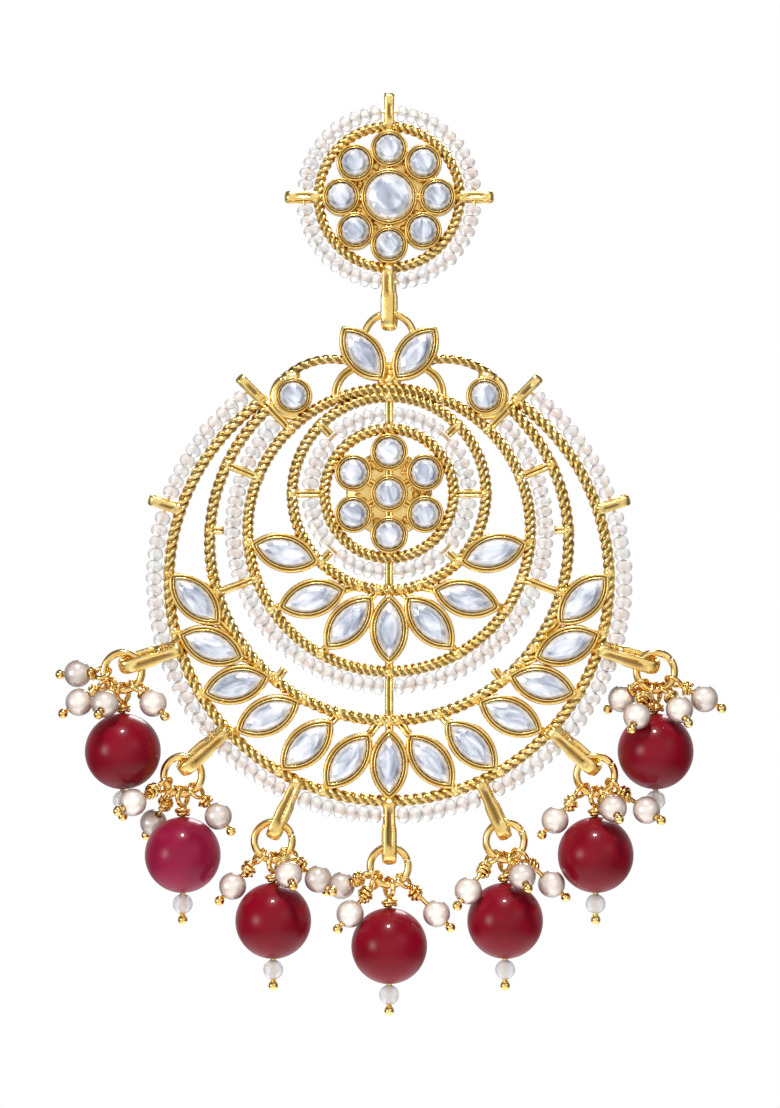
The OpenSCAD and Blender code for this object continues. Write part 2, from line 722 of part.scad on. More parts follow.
module tip_pearls() {
    color("snow")
        for (i = [0 : len(DROP_AT) - 1])
            round_jump(i, 0, 0)
                translate([0, 0, jump_r - red_drop - tip_pearl_drop])
                    difference() {
                        sphere(d = tip_pearl_d);
                        cylinder(d = pearl_hole_d, h = 2 * tip_pearl_d, center = true);
                    }
}

function pearl_way(row) = [red_drop * row[2] - jump_r, pearl_y(row)];

module cluster_pearls() {
    color("snow")
        for (row = PEARLS)
            let (way = pearl_way(row))
            round_jump(row[0], row[1], atan2(way[1], way[0]))
                translate([0, 0, -norm(way)])
                    difference() {
                        sphere(d = pearl_d);
                        cylinder(d = pearl_hole_d, h = 2 * pearl_d, center = true);
                    }
}

module cluster_pins() {
    color("gold")
        for (row = PEARLS)
            let (way = pearl_way(row))
            round_jump(row[0], row[1], atan2(way[1], way[0]))
                pin(pearl_wire_d, pearl_eye_r, norm(way) + pearl_d / 2 + hang_gap + pin_ball_d / 2);
}

stud_frame();
stud_centre_stone();
stud_petal_stones();
stud_seed_string();
drop_frame();
flower_centre_stone();
flower_petal_stones();
flower_seed_string();
middle_seed_string();
outer_seed_string();
cluster_pearls();
cluster_pins();
tip_pearls();
for (k = [1, 2]) {
    crown_pointed_stone(2 * k - 3);
    crown_round_stone(2 * k - 3);
}
for (i = [-inner_side : inner_side])
    inner_stone(i);
for (i = [-outer_side : outer_side])
    outer_stone(i);
for (i = [0 : len(DROP_AT) - 1]) {
    jump_ring(i);
    red_bead(i);
    bead_pin(i);
}
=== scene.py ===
"""Looks of the chandbali earring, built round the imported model.

Sizes are in millimetres, but those of the studio are in metres."""
import math

import bpy
import numpy as np
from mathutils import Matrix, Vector


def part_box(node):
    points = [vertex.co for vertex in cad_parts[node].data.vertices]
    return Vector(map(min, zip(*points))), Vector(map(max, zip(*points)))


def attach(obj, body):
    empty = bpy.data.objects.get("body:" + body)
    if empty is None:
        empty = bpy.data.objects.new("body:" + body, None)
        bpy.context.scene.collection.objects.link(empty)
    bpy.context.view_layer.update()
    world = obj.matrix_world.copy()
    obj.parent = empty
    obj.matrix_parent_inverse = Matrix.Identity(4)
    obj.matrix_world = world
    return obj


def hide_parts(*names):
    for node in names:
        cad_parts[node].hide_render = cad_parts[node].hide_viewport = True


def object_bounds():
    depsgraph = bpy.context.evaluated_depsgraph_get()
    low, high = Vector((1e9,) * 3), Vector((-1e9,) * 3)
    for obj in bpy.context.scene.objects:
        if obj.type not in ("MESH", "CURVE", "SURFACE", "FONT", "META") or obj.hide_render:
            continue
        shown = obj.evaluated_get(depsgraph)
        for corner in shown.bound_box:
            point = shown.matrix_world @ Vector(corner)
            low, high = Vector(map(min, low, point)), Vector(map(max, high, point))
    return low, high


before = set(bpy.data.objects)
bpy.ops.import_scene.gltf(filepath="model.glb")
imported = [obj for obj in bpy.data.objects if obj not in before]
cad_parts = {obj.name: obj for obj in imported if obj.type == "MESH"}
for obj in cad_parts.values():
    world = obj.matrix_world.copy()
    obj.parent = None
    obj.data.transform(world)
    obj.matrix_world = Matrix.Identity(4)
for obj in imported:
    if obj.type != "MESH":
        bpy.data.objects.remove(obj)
CAD_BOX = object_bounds()

MM = 0.001
RANDOM = np.random.default_rng(11)

# Rings of the stud and the pendant, at the middle of their rope wires
STUD_RING_R = 7.45
STUD_ROPE_D = 1.1
DROP_ROPE_D = 1.2
RING_1_R = 23.2
RING_2_R = 18.9
RING_3_R = 14.9
RING_4_R = 10.2
RING_5_R = 6.8
OUTER_BAND_H = 8.46
STRING_BAND_H = 5.16
RING_LAP = 0.83
BAR_W = 0.9
BAR_T = 0.9
PEG_L = 1.5

# Settings and stones
SETTING_H = 2.0
SETTING_BACK = 0.6
WEB_T = 0.8
SOLDER_LAP = 0.15
POINTED_WALL = 0.6
ROUND_WALL = 0.45
POINTED_L = 6.0
POINTED_W = 2.85
CROWN_L = 5.7
ROUND_D = 3.0
CENTRE_D = 5.0
STONE_GAP = 0.05
STONE_RISE = 0.45
GIRDLE_SINK = 0.25
STUD_PETALS = 8
FLOWER_PETALS = 6
FLOWER_STOPS = 8

# Crown
ARCH_R = 2.6
ARCH_WIRE_D = 0.8
ARCH_H = 5.3
CROWN_LEAN = 38.0
CROWN_SIDE = 2.76
CROWN_H = 3.68
CROWN_ROUND_AT = 35.5
LEAF_FOOT_AT = 22.0
SCROLL_END_AT = 45.0
SCROLL_D = 0.95
CURL_D = 1.1
CURL_LAP = 10
CURL_END = 15
SCROLL_SOLDER_AT = 8
SCROLL_SOLDER_W = 2.0
SCROLL_BOW = 1.15
LEAF_BOW = 0.75
# Solder between the crown's leaves: side, height over the rings and radius of each lump
CROWN_SOLDER = (
    (0, 0.85, 0.75), (-0.75, 0.75, 0.55), (0.75, 0.75, 0.55), (0.05, 1.6, 0.5), (-0.05, 2.2, 0.42))

# Eyelets, drops and beads
EYE_W = 1.1
LONG_EYE_W = 1.5
LONG_EYE_L = 6.7
HANG_EYE_L = 6.65
SHORT_EYE_L = 3.6
EYE_END = 0.9
HANG_END = 1.2
EYE_SIDE = 0.65
THREAD_HOLE_D = 0.7
SEED_D = 1.6
SEED_GAP = 0.2
# Length of a seed bead along its string: the three inner strings and the outermost one
SEED_L = 1.13
OUTER_SEED_L = 1.28
SEED_HOLE_R = 0.2
THREAD_D = 0.3
JUMP_R = 2.0
JUMP_WIRE_D = 0.8
RED_D = 8.0
RED_HOLE_D = 1.0
TIP_PEARL_D = 2.1
PEARL_D = 2.9
PEARL_HOLE_D = 0.8
PIN_BALL_D = 1.05
PIN_WIRE_D = 0.45
PEARL_WIRE_D = 0.36
PIN_EYE_R = 0.95
PEARL_EYE_R = 0.85
PIN_NECK = 1.0
HANG_GAP = 0.1
POST_D = 0.9
POST_L = 11.0
# How much thicker than in the solids a seed bead is drawn all round, and the wire of a pin right through
SEED_MORE = 0.03
WIRE_MORE = 0.12
# Wire wound round the pins, and how far their eyes stand turned about them, in radians
WRAP_D = 0.4
EYE_TWIST = (0.35, 0.7)
# How far the cast eyelets stand turned about their own length, in degrees: drops, sides, stud
DROP_EYE_TURN = (-20, -17, 6, -4, 5, 17, 21)
SIDE_EYE_TURN = 16
HANG_EYE_TURN = 11
# Thickness of a short eyelet's sides
SHORT_SIDE = 0.42
# Sunk strip along the outside of a cast eyelet: start, end on a short one, and how long it runs out
STRIP_FROM = 0.6
SHORT_STRIP_TO = 2.5
STRIP_FADE = 0.35
# Half of its width and its depth, as shares of the width and the thickness of the eyelet's sides
STRIP_HALF = 0.27
STRIP_SINK = 0.42
# Length over which an eyelet widens from its root to its slot
EYE_GROWTH = 0.8

# Degrees from the top of the third ring: bars across the string's channel, pegs, crescents' ends
MIDDLE_BARS = (68, 110)
MIDDLE_PEGS = (90, 143)
END_AT = 44.5
# Degrees from straight down round the outermost ring
DROP_AT = (-72.3, -47.6, -24.5, 0, 24.5, 47.6, 72.3)
SIDE_EYE = 108.8
# Pearls: number of the drop, degrees from straight down round the jump ring, share of the way out
# to the red bead, side (1 back, -1 front), least distance to that side as a share of the diameter
PEARLS = (
    (0, -87, 0.58, 1, 0.4), (0, -55, 0.67, 1, 0), (0, -27, 0.44, -1, 0.9), (0, 45, 0.55, -1, 0.45),
    (1, -62, 0.68, -1, 0.95), (1, -32, 0.74, 1, 0.5), (1, 41, 0.68, -1, 0),
    (2, -42, 0.76, 1, 0), (2, 27, 0.44, -1, 0.9), (2, 51, 0.73, -1, 0.55),
    (3, -40, 0.76, -1, 0), (3, -66, 0.66, 1, 0.75), (3, 45, 0.84, 1, 0),
    (4, -38, 0.76, -1, 0), (4, 47, 0.8, 1, 0.2), (4, 26, 0.46, -1, 0.9),
    (5, -42, 0.76, 1, 0), (5, 27, 0.44, -1, 0.9), (5, 56, 0.74, -1, 0.95),
    (6, -50, 0.54, 1, 0.5), (6, -26, 0.6, -1, 0), (6, 31, 0.54, -1, 0), (6, 61, 0.7, 1, 0))
# Pointed stones, one row each side: degrees where the setting meets the outer and the inner ring
OUTER_BARS = ((0, 0), (17.5, 2.7), (30, 16), (46, 28.5), (59, 41.5), (76.5, 47), (92, 53.5))
INNER_BARS = ((0, 0), (29, 6.5), (56, 18), (85, 44))

MID_Y = -SETTING_H / 2
Y_AXIS = np.array((0.0, 1.0, 0.0))


def down(a):
    """Unit direction at a degrees from straight down, in the plane of the rings."""
    return np.array((math.sin(math.radians(a)), 0.0, -math.cos(math.radians(a))))


def at(x, z, y=MID_Y):
    return np.array((x, y, z), float)


def unit(v):
    v = np.asarray(v, float)
    return v / np.linalg.norm(v, axis=-1, keepdims=True)


def reach(p, d, centre, r):
    """Distance from p along the unit direction d to a circle of radius r round centre."""
    q = p - centre
    b = float(q @ d)
    return -b + math.sqrt(b * b - float(q @ q) + r * r)


# Heights of the rings' middles, worked out from the top down
arch_in_r = ARCH_R - ARCH_WIRE_D / 2
arch_seat = arch_in_r - math.sqrt(arch_in_r ** 2 - LONG_EYE_W ** 2 / 4) + HANG_GAP
PIVOT_Z = -(STUD_RING_R + HANG_EYE_L - HANG_END) + arch_seat + ARCH_WIRE_D / 2
ARCH = at(0, PIVOT_Z - ARCH_R)
TOP_Z = ARCH[2] - ARCH_H
RING_3 = at(0, TOP_Z - RING_3_R)
RING_4 = at(0, TOP_Z - RING_LAP - RING_4_R)
RING_2 = at(0, RING_3[2] - RING_3_R - STRING_BAND_H + RING_2_R)
RING_1 = at(0, RING_2[2] - RING_2_R - OUTER_BAND_H + RING_1_R)
STUD = at(0, 0)

ROUND_SETTING_R = ROUND_D / 2 + STONE_GAP + ROUND_WALL
STUD_PETAL_R = STUD_RING_R - STUD_ROPE_D / 2 - ROUND_SETTING_R + SOLDER_LAP
FLOWER_PETAL_R = RING_5_R - DROP_ROPE_D / 2 - ROUND_SETTING_R + SOLDER_LAP
CROWN_ROUND_R = RING_3_R + DROP_ROPE_D / 2 + ROUND_SETTING_R - SOLDER_LAP
STUD_STRING_R = STUD_RING_R + STUD_ROPE_D / 2 + SEED_GAP + SEED_D / 2
FLOWER_STRING_R = RING_5_R + DROP_ROPE_D / 2 + SEED_GAP + SEED_D / 2
MIDDLE_STRING_R = RING_3_R + DROP_ROPE_D / 2 + SEED_GAP + SEED_D / 2
OUTER_STRING_R = RING_1_R + DROP_ROPE_D / 2 + SEED_GAP + SEED_D / 2
MIDDLE_PEG_R = MIDDLE_STRING_R + SEED_D / 2 + SEED_GAP / 2

eye_corner = math.hypot(EYE_END / 2, LONG_EYE_W / 2)
JUMP_SINK = JUMP_R - JUMP_WIRE_D / 2 - eye_corner - HANG_GAP


def eye_middle(wire_d, eye_r):
    """Distance from a jump ring's wire to the middle of a pin's eye that hangs on it."""
    return eye_r - wire_d / 2 - JUMP_WIRE_D / 2 - HANG_GAP


RED_DROP = JUMP_R + eye_middle(PIN_WIRE_D, PIN_EYE_R) + PIN_EYE_R + PIN_WIRE_D / 2 + PIN_NECK + RED_D / 2
TIP_DROP = RED_D / 2 + HANG_GAP + TIP_PEARL_D / 2
BALL_DROP = TIP_DROP + TIP_PEARL_D / 2 + HANG_GAP + PIN_BALL_D / 2


def seen_at(p, centre):
    """Degrees from straight down at which p is seen from centre."""
    return math.degrees(math.atan2(p[0] - centre[0], centre[2] - p[2]))


END_DIR = down(180 - END_AT)
END_1 = RING_3 + END_DIR * reach(RING_3, END_DIR, RING_1, RING_1_R)
END_2 = RING_3 + END_DIR * reach(RING_3, END_DIR, RING_2, RING_2_R)
END_EYE_R = float(np.linalg.norm(END_1 - RING_3))


class Shape:
    """Vertices and faces of one piece, with values at each vertex that its material reads."""

    def __init__(self):
        self.points = []
        # painted_light: how much light or shade the material paints at each vertex, shade on the gold and
        # the white rim reflection on the stones
        self.layers = {"painted_light": [], "tint": [], "across": [], "along": []}
        self.faces = []
        self.count = 0

    def add(self, points, faces, painted_light=0.0, tint=0.5, across=0.0, along=0.0):
        points = np.asarray(points, float).reshape(-1, 3)
        self.points.append(points)
        for label, values in (("painted_light", painted_light), ("tint", tint), ("across", across), ("along", along)):
            self.layers[label].append(np.broadcast_to(values, (len(points),)))
        self.faces.extend(tuple(int(v) + self.count for v in face) for face in faces)
        self.count += len(points)

    def build(self, name, material, body, nodes, flat=False):
        mesh = bpy.data.meshes.new(name)
        mesh.from_pydata((np.concatenate(self.points) * MM).tolist(), [], self.faces)
        for label, values in self.layers.items():
            layer = mesh.attributes.new(label, "FLOAT", "POINT")
            layer.data.foreach_set("value", np.concatenate(values).astype(np.float32))
        mesh.polygons.foreach_set("use_smooth", np.full(len(mesh.polygons), not flat))
        mesh.materials.append(material)
        mesh.update()
        piece = bpy.data.objects.new(name, mesh)
        bpy.context.scene.collection.objects.link(piece)
        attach(piece, body)
        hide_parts(*nodes)

    def build_metal(self, name, body, material=None):
        """Builds a part of the soldered metal of the stud or the pendant."""
        self.build(name, material or GOLD, body, [body + "_frame"])


def grid(rows, columns, loop):
    """Quads over rows of points that each close on themselves; loop closes the rows too."""
    faces = []
    for i in range(rows if loop else rows - 1):
        a = i * columns
        b = (i + 1) % rows * columns
        for j in range(columns):
            k = (j + 1) % columns
            faces.append((a + j, a + k, b + k, b + j))
    return faces


def capped_grid(rows, columns):
    """Quads over rows of points, with a face over each of the two ends."""
    last = (rows - 1) * columns
    return grid(rows, columns, False) + [tuple(range(columns))[::-1], tuple(range(last, last + columns))]


def sweep(shape, path, normals, section, loop=False, painted_light=0.0):
    """Carries a section along a path. section holds offsets along the normal and the binormal."""
    path = np.asarray(path, float)
    rows = len(path)
    ahead = np.roll(path, -1, 0)
    behind = np.roll(path, 1, 0)
    if not loop:
        ahead[-1] = path[-1]
        behind[0] = path[0]
    tangents = unit(ahead - behind)
    binormals = unit(np.cross(tangents, np.broadcast_to(normals, path.shape)))
    normals = np.cross(binormals, tangents)
    section = np.broadcast_to(section, (rows,) + np.shape(section)[-2:])
    columns = section.shape[1]
    points = path[:, None] + section[..., :1] * normals[:, None] + section[..., 1:] * binormals[:, None]
    faces = grid(rows, columns, True) if loop else capped_grid(rows, columns)
    shape.add(points, [face[::-1] for face in faces], np.broadcast_to(painted_light, (rows, columns)).reshape(-1))


def oval(width, depth, sides, power=2.0):
    """Offsets of an oval section; a power over 2 makes it squarer."""
    a = np.arange(sides) * 2 * math.pi / sides
    c = np.cos(a)
    s = np.sin(a)
    return np.stack((
        width / 2 * np.sign(c) * np.abs(c) ** (2 / power),
        depth / 2 * np.sign(s) * np.abs(s) ** (2 / power)), -1)


def arc(centre, r, start, end, step):
    """Points round centre from start to end, in degrees from straight down, and their normals."""
    count = max(3, math.ceil(abs(end - start) / 360 * 2 * math.pi * r / step))
    closed = abs(end - start) >= 360
    turns = np.linspace(start, end, count + 1)[:-1 if closed else None]
    rays = np.array([down(a) for a in turns])
    return centre + r * rays, rays, closed


STRANDS = 3
STRAND_POINTS = 8
ROPE_STEP = 0.15
# Distance between neighbouring strands along a rope: stud, outer rings, inner rings and scrolls
STUD_STRAND = 0.78
RING_1_STRAND = 0.95
RING_2_STRAND = 0.88
INNER_STRAND = 0.74
SCROLL_STRAND = 0.85
# Solid middle of a rope as a share of its thickness, how much the twist swells it, and how much
# shade is painted into the grooves between its strands and how sharply it starts
ROPE_CORE = 0.76
SCROLL_CORE = 0.84
ROPE_SWELL = 1.08
ROPE_PAINTED_SHADE = 0.8
ROPE_EDGE = 2.5


def rope(shape, centre, r, wire_d, strand, start=0, end=360, core=ROPE_CORE):
    """Twisted rope along an arc: round strands, a set distance apart along it, round each other."""
    path, rays, closed = arc(centre, r, start, end, ROPE_STEP)
    length = abs(end - start) / 360 * 2 * math.pi * r
    turns = round(length / (strand * STRANDS))
    columns = STRANDS * STRAND_POINTS
    d = wire_d * ROPE_SWELL
    half = math.pi / STRANDS
    out = (d / 2) / (1 + math.sin(half))
    strand_r = d / 2 - out
    around = np.arange(columns) * 2 * math.pi / columns
    off = (around + half) % (2 * half) - half
    reach_out = out * np.cos(off) + np.sqrt(np.maximum(strand_r ** 2 - (out * np.sin(off)) ** 2, 0))
    reach_out = np.maximum(reach_out, core * d / 2)
    # Painted shade, deepest in the grooves between the strands
    deep = ROPE_PAINTED_SHADE * ((d / 2 - reach_out) / ((1 - core) * d / 2)) ** ROPE_EDGE
    share = np.arange(len(path)) / (len(path) if closed else len(path) - 1)
    angle = around[None] + 2 * math.pi * turns * share[:, None]
    section = np.stack((reach_out * np.cos(angle), reach_out * np.sin(angle)), -1)
    sweep(shape, path, rays, section, closed, deep)


def wire_arc(shape, centre, r, d, start=0, end=360, sides=12, step=0.3):
    path, rays, closed = arc(centre, r, start, end, step)
    sweep(shape, path, rays, oval(d, d, sides), closed)


def bow(a, b, height):
    """Centre, radius and angles of the arc from a to b that bulges by height, a on its right."""
    half = np.linalg.norm(b - a) / 2
    r = (half * half + height * height) / (2 * height)
    left = np.array((a[2] - b[2], 0.0, b[0] - a[0])) / (2 * half)
    centre = (a + b) / 2 + left * (r - height)
    start = seen_at(a, centre)
    return centre, r, start, start + 2 * math.degrees(math.asin(half / r))


def double_section(w, t):
    """Section of two wires side by side, with a groove between them at the front and the back."""
    a = np.radians(np.linspace(-135, 135, 11))
    right = np.stack((w / 4 + w / 4 * np.cos(a), t / 2 * np.sin(a)), -1)
    # The second array is painted shade: full at the grooves, and some at the points next to them
    side = np.zeros(len(a))
    side[[0, -1]] = 0.35
    points = np.concatenate((right, [[0, t / 4]], -right, [[0, -t / 4]]))
    return points, np.concatenate((side, [1], side, [1]))


def bar(shape, a, b, w=BAR_W, t=BAR_T):
    """Bar of two wires from a to b."""
    section, deep = double_section(w, t)
    # with painted shade in the groove between the two wires
    sweep(shape, np.linspace(a, b, 5), unit(np.cross(b - a, Y_AXIS)), section, False, deep)


def turned_side(way, turn):
    """Direction from an eyelet's middle line to its side at the back, turned by some degrees."""
    t = math.radians(turn)
    return Y_AXIS * math.cos(t) + unit(np.cross(way, Y_AXIS)) * math.sin(t)


def eyelet(shape, root, way, length, w, root_w, half, side_t, fills, strip, turn):
    """Cast eyelet along way from root: a loop of flat wire that stands edge-on to the front.

    half is the distance of the loop's two sides from its middle line; fills are the stretches
    between the sides that are solid; the outside is sunk between two rails along the strip;
    turn twists the eyelet about its own length, in degrees."""
    side = turned_side(way, turn)
    tip = length - side_t / 2 - half
    bend = np.radians(np.linspace(-90, 90, 11))
    run = np.linspace(tip, 0, 14)[1:]
    outline = [(tip + half * math.cos(a), half * math.sin(a)) for a in bend]
    outline += [(x, half) for x in run]
    outline += [(x, -half) for x in run[::-1]]
    outline = np.array(outline)
    path = root + outline[:, :1] * way + outline[:, 1:] * side
    tangents = np.roll(path, -1, 0) - np.roll(path, 1, 0)
    normals = unit(np.cross(tangents, np.cross(side, way)))
    grow = np.clip((outline[:, 0] - fills[-1][1]) / EYE_GROWTH + 0.5, 0, 1)
    widths = root_w + (w - root_w) * grow * grow * (3 - 2 * grow)
    section = oval(1, 1, 24, 2.5)
    between = np.clip(1 - (section[:, 1] / STRIP_HALF) ** 2, 0, 1) * (section[:, 0] < 0)
    strip_middle = (strip[0] + strip[1]) / 2
    inside = (strip[1] - strip[0]) / 2 - np.abs(outline[:, 0] - strip_middle)
    sunk = np.clip(inside / STRIP_FADE, 0, 1)[:, None] * between[None]
    section = section[None] * np.stack((np.full(len(widths), side_t), widths), -1)[:, None]
    section[..., 0] += STRIP_SINK * side_t * sunk
    # Painted shade in the sunk strip
    sweep(shape, path, normals, section, True, 0.9 * sunk)
    for start, end in fills:
        middle = root + way * (start + end) / 2
        fill = oval(end - start, root_w * 0.92, 16, 3.2)
        sweep(shape, [middle - side * half, middle, middle + side * half], way, fill)


def short_eyelet(shape, root, way, turn):
    """Short eyelet with a rounded tip, for the seed beads' thread alone."""
    hole = DROP_ROPE_D / 2 + SEED_GAP + SEED_D / 2
    half = THREAD_HOLE_D / 2 + EYE_SIDE / 2 - SHORT_SIDE / 2
    near = (0.1, hole - THREAD_HOLE_D / 2 - 0.1)
    far = (hole + THREAD_HOLE_D / 2 + 0.25, SHORT_EYE_L - SHORT_SIDE / 2 - 0.35)
    eyelet(shape, root, way, SHORT_EYE_L, EYE_W, EYE_W * 0.9, half, SHORT_SIDE, (near, far),
           (STRIP_FROM, SHORT_STRIP_TO), turn)
    blob(shape, root + way * 0.25, 0.72, 0.9)


def long_eyelet(shape, root, way, length, ring_wire_d, rope_d, end_t, turn, plain):
    """Long eyelet: a short root with the thread hole, then a slot that a ring hangs in.

    plain is how much of its length, from the tip, has no rails."""
    hole = rope_d / 2 + SEED_GAP + SEED_D / 2
    slot = rope_d / 2 + SEED_D + 2 * SEED_GAP
    half = ring_wire_d / 2 + 2 * HANG_GAP + EYE_SIDE / 2
    fills = ((0.1, hole - THREAD_HOLE_D / 2), (hole + THREAD_HOLE_D / 2, slot + 0.1))
    eyelet(shape, root, way, length, LONG_EYE_W, LONG_EYE_W * 0.8, half, EYE_SIDE, fills,
           (STRIP_FROM, length - plain), turn)
    tip = root + way * (length - end_t / 2)
    side = turned_side(way, turn) * half * 0.62
    sweep(shape, [tip - side, tip, tip + side], way, oval(end_t * 0.96, LONG_EYE_W * 0.9, 16, 2.3))
    blob(shape, root + way * 0.3, 0.82, 0.9)


def ball_profile(r, rows, squash=1.0):
    return [(r * math.sin(a), -r * squash * math.cos(a)) for a in np.linspace(0, math.pi, rows + 1)]


def blob(shape, centre, r, squash=1.0, sides=12, painted_light=0.0):
    """Rounded lump of solder."""
    lathe(shape, centre, Y_AXIS, ball_profile(r, sides // 2, squash), sides, False, painted_light)


def solder_lumps(shape, centre, petals, near, far):
    """Uneven solder on the sheet between the settings of a flower."""
    for i in range(petals):
        for _ in range(7):
            turn = (i + 0.5 + RANDOM.uniform(-0.28, 0.28)) * 360 / petals
            spot = centre + down(turn) * RANDOM.uniform(near, far - 0.3)
            spot[1] = -WEB_T + 0.08
            # Each lump gets up to a little painted shade, more on some than on others
            blob(shape, spot, RANDOM.uniform(0.25, 0.5), RANDOM.uniform(0.5, 0.9), 10,
                 RANDOM.uniform(0.0, 0.3))


def basis(axis):
    """Two directions square to an axis and to each other."""
    axis = unit(axis)
    other = np.array((0.0, 0.0, 1.0)) if abs(axis[2]) < 0.9 else np.array((1.0, 0.0, 0.0))
    u = unit(np.cross(other, axis))
    return u, np.cross(axis, u)


def lathe(shape, origin, axis, profile, sides, loop=False, painted_light=0.0, tint=0.5):
    """Turns a profile of (radius, height along the axis) round the axis. A loop has a hole in it."""
    axis = unit(axis)
    u, v = basis(axis)
    turns = np.arange(sides) * 2 * math.pi / sides
    rays = np.outer(np.cos(turns), u) + np.outer(np.sin(turns), v)
    profile = np.asarray(profile, float)
    rows = profile if loop else profile[1:-1]
    points = (origin + rows[:, 0, None, None] * rays[None] + rows[:, 1, None, None] * axis).reshape(-1, 3)
    faces = grid(len(rows), sides, loop)
    if not loop:
        count = len(points)
        points = np.concatenate((points, [origin + profile[0, 1] * axis, origin + profile[-1, 1] * axis]))
        for j in range(sides):
            k = (j + 1) % sides
            faces += [(count, k, j), (count + 1, count - sides + j, count - sides + k)]
    shape.add(points, faces, painted_light, tint)


def flower_sheet(shape, centre, r):
    """Sheet behind a flower's settings, sunk a little between their backs."""
    inset = 0.07
    # A little painted shade over the whole sheet
    lathe(shape, centre, Y_AXIS, (
        (0, -inset), (r * 0.6, -inset), (r, -inset), (r + 0.2, -WEB_T / 2), (r, -WEB_T), (r * 0.6, -WEB_T),
        (0, -WEB_T)), 48, False, 0.12)


def drilled_profile(r, hole_r, rows):
    """Closed profile of a round bead with a hole along its axis."""
    first = math.asin(hole_r / r)
    outside = [(r * math.sin(a), -r * math.cos(a)) for a in np.linspace(first, math.pi - first, rows)]
    return outside + [(hole_r * 0.9, r * 0.9), (hole_r * 0.9, -r * 0.9)]


def round_at(r):
    """Gives the outline of a round stone for a growth all round and a number of points."""
    def outline(grow, count=36):
        a = np.arange(count) * 2 * math.pi / count
        return np.stack((np.cos(a), np.sin(a)), -1) * (r + grow)
    return outline


def pointed_at(l, w):
    """Gives the outline of a pointed stone along Z, between two arcs, in the same way."""
    def outline(grow, count=36):
        r = (l * l + w * w) / (4 * w)
        half = math.acos((r - w / 2) / (r + grow))
        t = -half + 2 * half * np.arange(count // 2) / (count // 2)
        right = np.stack((w / 2 - r + (r + grow) * np.cos(t), (r + grow) * np.sin(t)), -1)
        return np.concatenate((right, -right))
    return outline


def place(outline, depth, middle, turn):
    """Puts a flat outline at a depth, turned by an angle from upright to the left."""
    c = math.cos(turn)
    s = math.sin(turn)
    x = outline[:, 0] * c - outline[:, 1] * s
    z = outline[:, 0] * s + outline[:, 1] * c
    return np.stack((middle[0] + x, np.full(len(x), depth), middle[2] + z), -1)


def setting(shape, outline_at, wall, middle, turn):
    """Setting with a closed back, an outer step, a rounded rim, a groove and a thin inner lip."""
    h = -SETTING_H
    # Each row: share of the wall that lies inside it, depth, and how much shade is painted there
    profile = (
        (0.6, 0.0, 0.0), (0.9, 0.0, 0.0), (1.0, h * 0.05, 0.1), (1.0, h * 0.5, 0.1), (0.97, h * 0.8, 0.0),
        (0.86, h * 0.93, 0.0), (0.68, h * 0.99, 0.0), (0.5, h * 0.96, 0.2), (0.36, h * 0.86, 1.0),
        (0.3, h * 0.9, 0.6), (0.2, h * 1.02, 0.0), (0.08, h * 1.03, 0.0), (0.0, h * 0.96, 0.3),
        (0.0, -SETTING_BACK, 1.0))
    rows = [place(outline_at(STONE_GAP + wall * share), depth, middle, turn) for share, depth, _ in profile]
    deep = np.repeat([row[2] for row in profile], len(rows[0]))
    shape.add(np.concatenate(rows), capped_grid(len(rows), len(rows[0])), deep)


def round_setting(shape, middle, d=ROUND_D):
    setting(shape, round_at(d / 2), ROUND_WALL, middle, 0)


def stone(shape, outline_at, middle, turn, count, tint):
    """Cut stone: upright edge, two rows of facets and a flat top that faces the front."""
    table = -(SETTING_H + STONE_RISE)
    girdle = -(SETTING_H - GIRDLE_SINK)
    # Each row: share of the outline's size, depth, 1 if it has the odd points of the outline and 0 if
    # it has the even ones, and share of the way in to the table's edge
    rows = (
        (1.0, -SETTING_BACK - STONE_GAP, 0, 0.0), (1.0, girdle, 0, 0.0),
        (0.82, girdle + (table - girdle) * 0.62, 1, 0.5), (0.58, table, 0, 1.0))
    edge = outline_at(0.0, count * 2)
    flat = np.concatenate([edge[odd::2] * scale for scale, _, odd, _ in rows] + [np.zeros((1, 2))])
    depths = np.append(np.repeat([row[1] for row in rows], count), table)
    inward = np.append(np.repeat([row[3] for row in rows], count), 1.6)
    across, along = (flat / np.abs(edge[:, 0]).max()).T
    faces = grid(2, count, False)
    for j in range(count):
        k = (j + 1) % count
        faces += [
            (count + j, count + k, 2 * count + j), (count + k, 2 * count + k, 2 * count + j),
            (2 * count + j, 2 * count + k, 3 * count + k), (2 * count + j, 3 * count + k, 3 * count + j),
            (3 * count + j, 3 * count + k, 4 * count)]
    faces.append(tuple(range(count))[::-1])
    # The share of the way in marks where stone_material paints the white rim reflection
    shape.add(place(flat, depths, middle, turn), faces, inward, tint, across, along)


def stone_place(node):
    """Middle and turn of a pointed stone, read from its CAD node."""
    points = np.array([v.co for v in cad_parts[node].data.vertices]) / MM
    flat = points[:, [0, 2]]
    far = flat[np.argmax(np.linalg.norm(flat - flat.mean(0), axis=1))]
    tip = flat[np.argmax(np.linalg.norm(flat - far, axis=1))]
    low, high = sorted((far, tip), key=lambda p: p[1])
    middle = (low + high) / 2
    way = high - low
    return at(middle[0], middle[1]), math.atan2(-way[0], way[1])


def node_tree(name):
    material = bpy.data.materials.new(name)
    material.use_nodes = True
    tree = material.node_tree
    return material, tree, tree.nodes["Principled BSDF"]


def feed(node, inputs):
    """Feeds a node's inputs, each with another node's output, a colour or a number."""
    for label, source in inputs.items():
        socket = node.inputs[label]
        if hasattr(source, "is_output"):
            node.id_data.links.new(source, socket)
        elif socket.type == "RGBA":
            socket.default_value = (*source, 1.0)
        else:
            socket.default_value = source


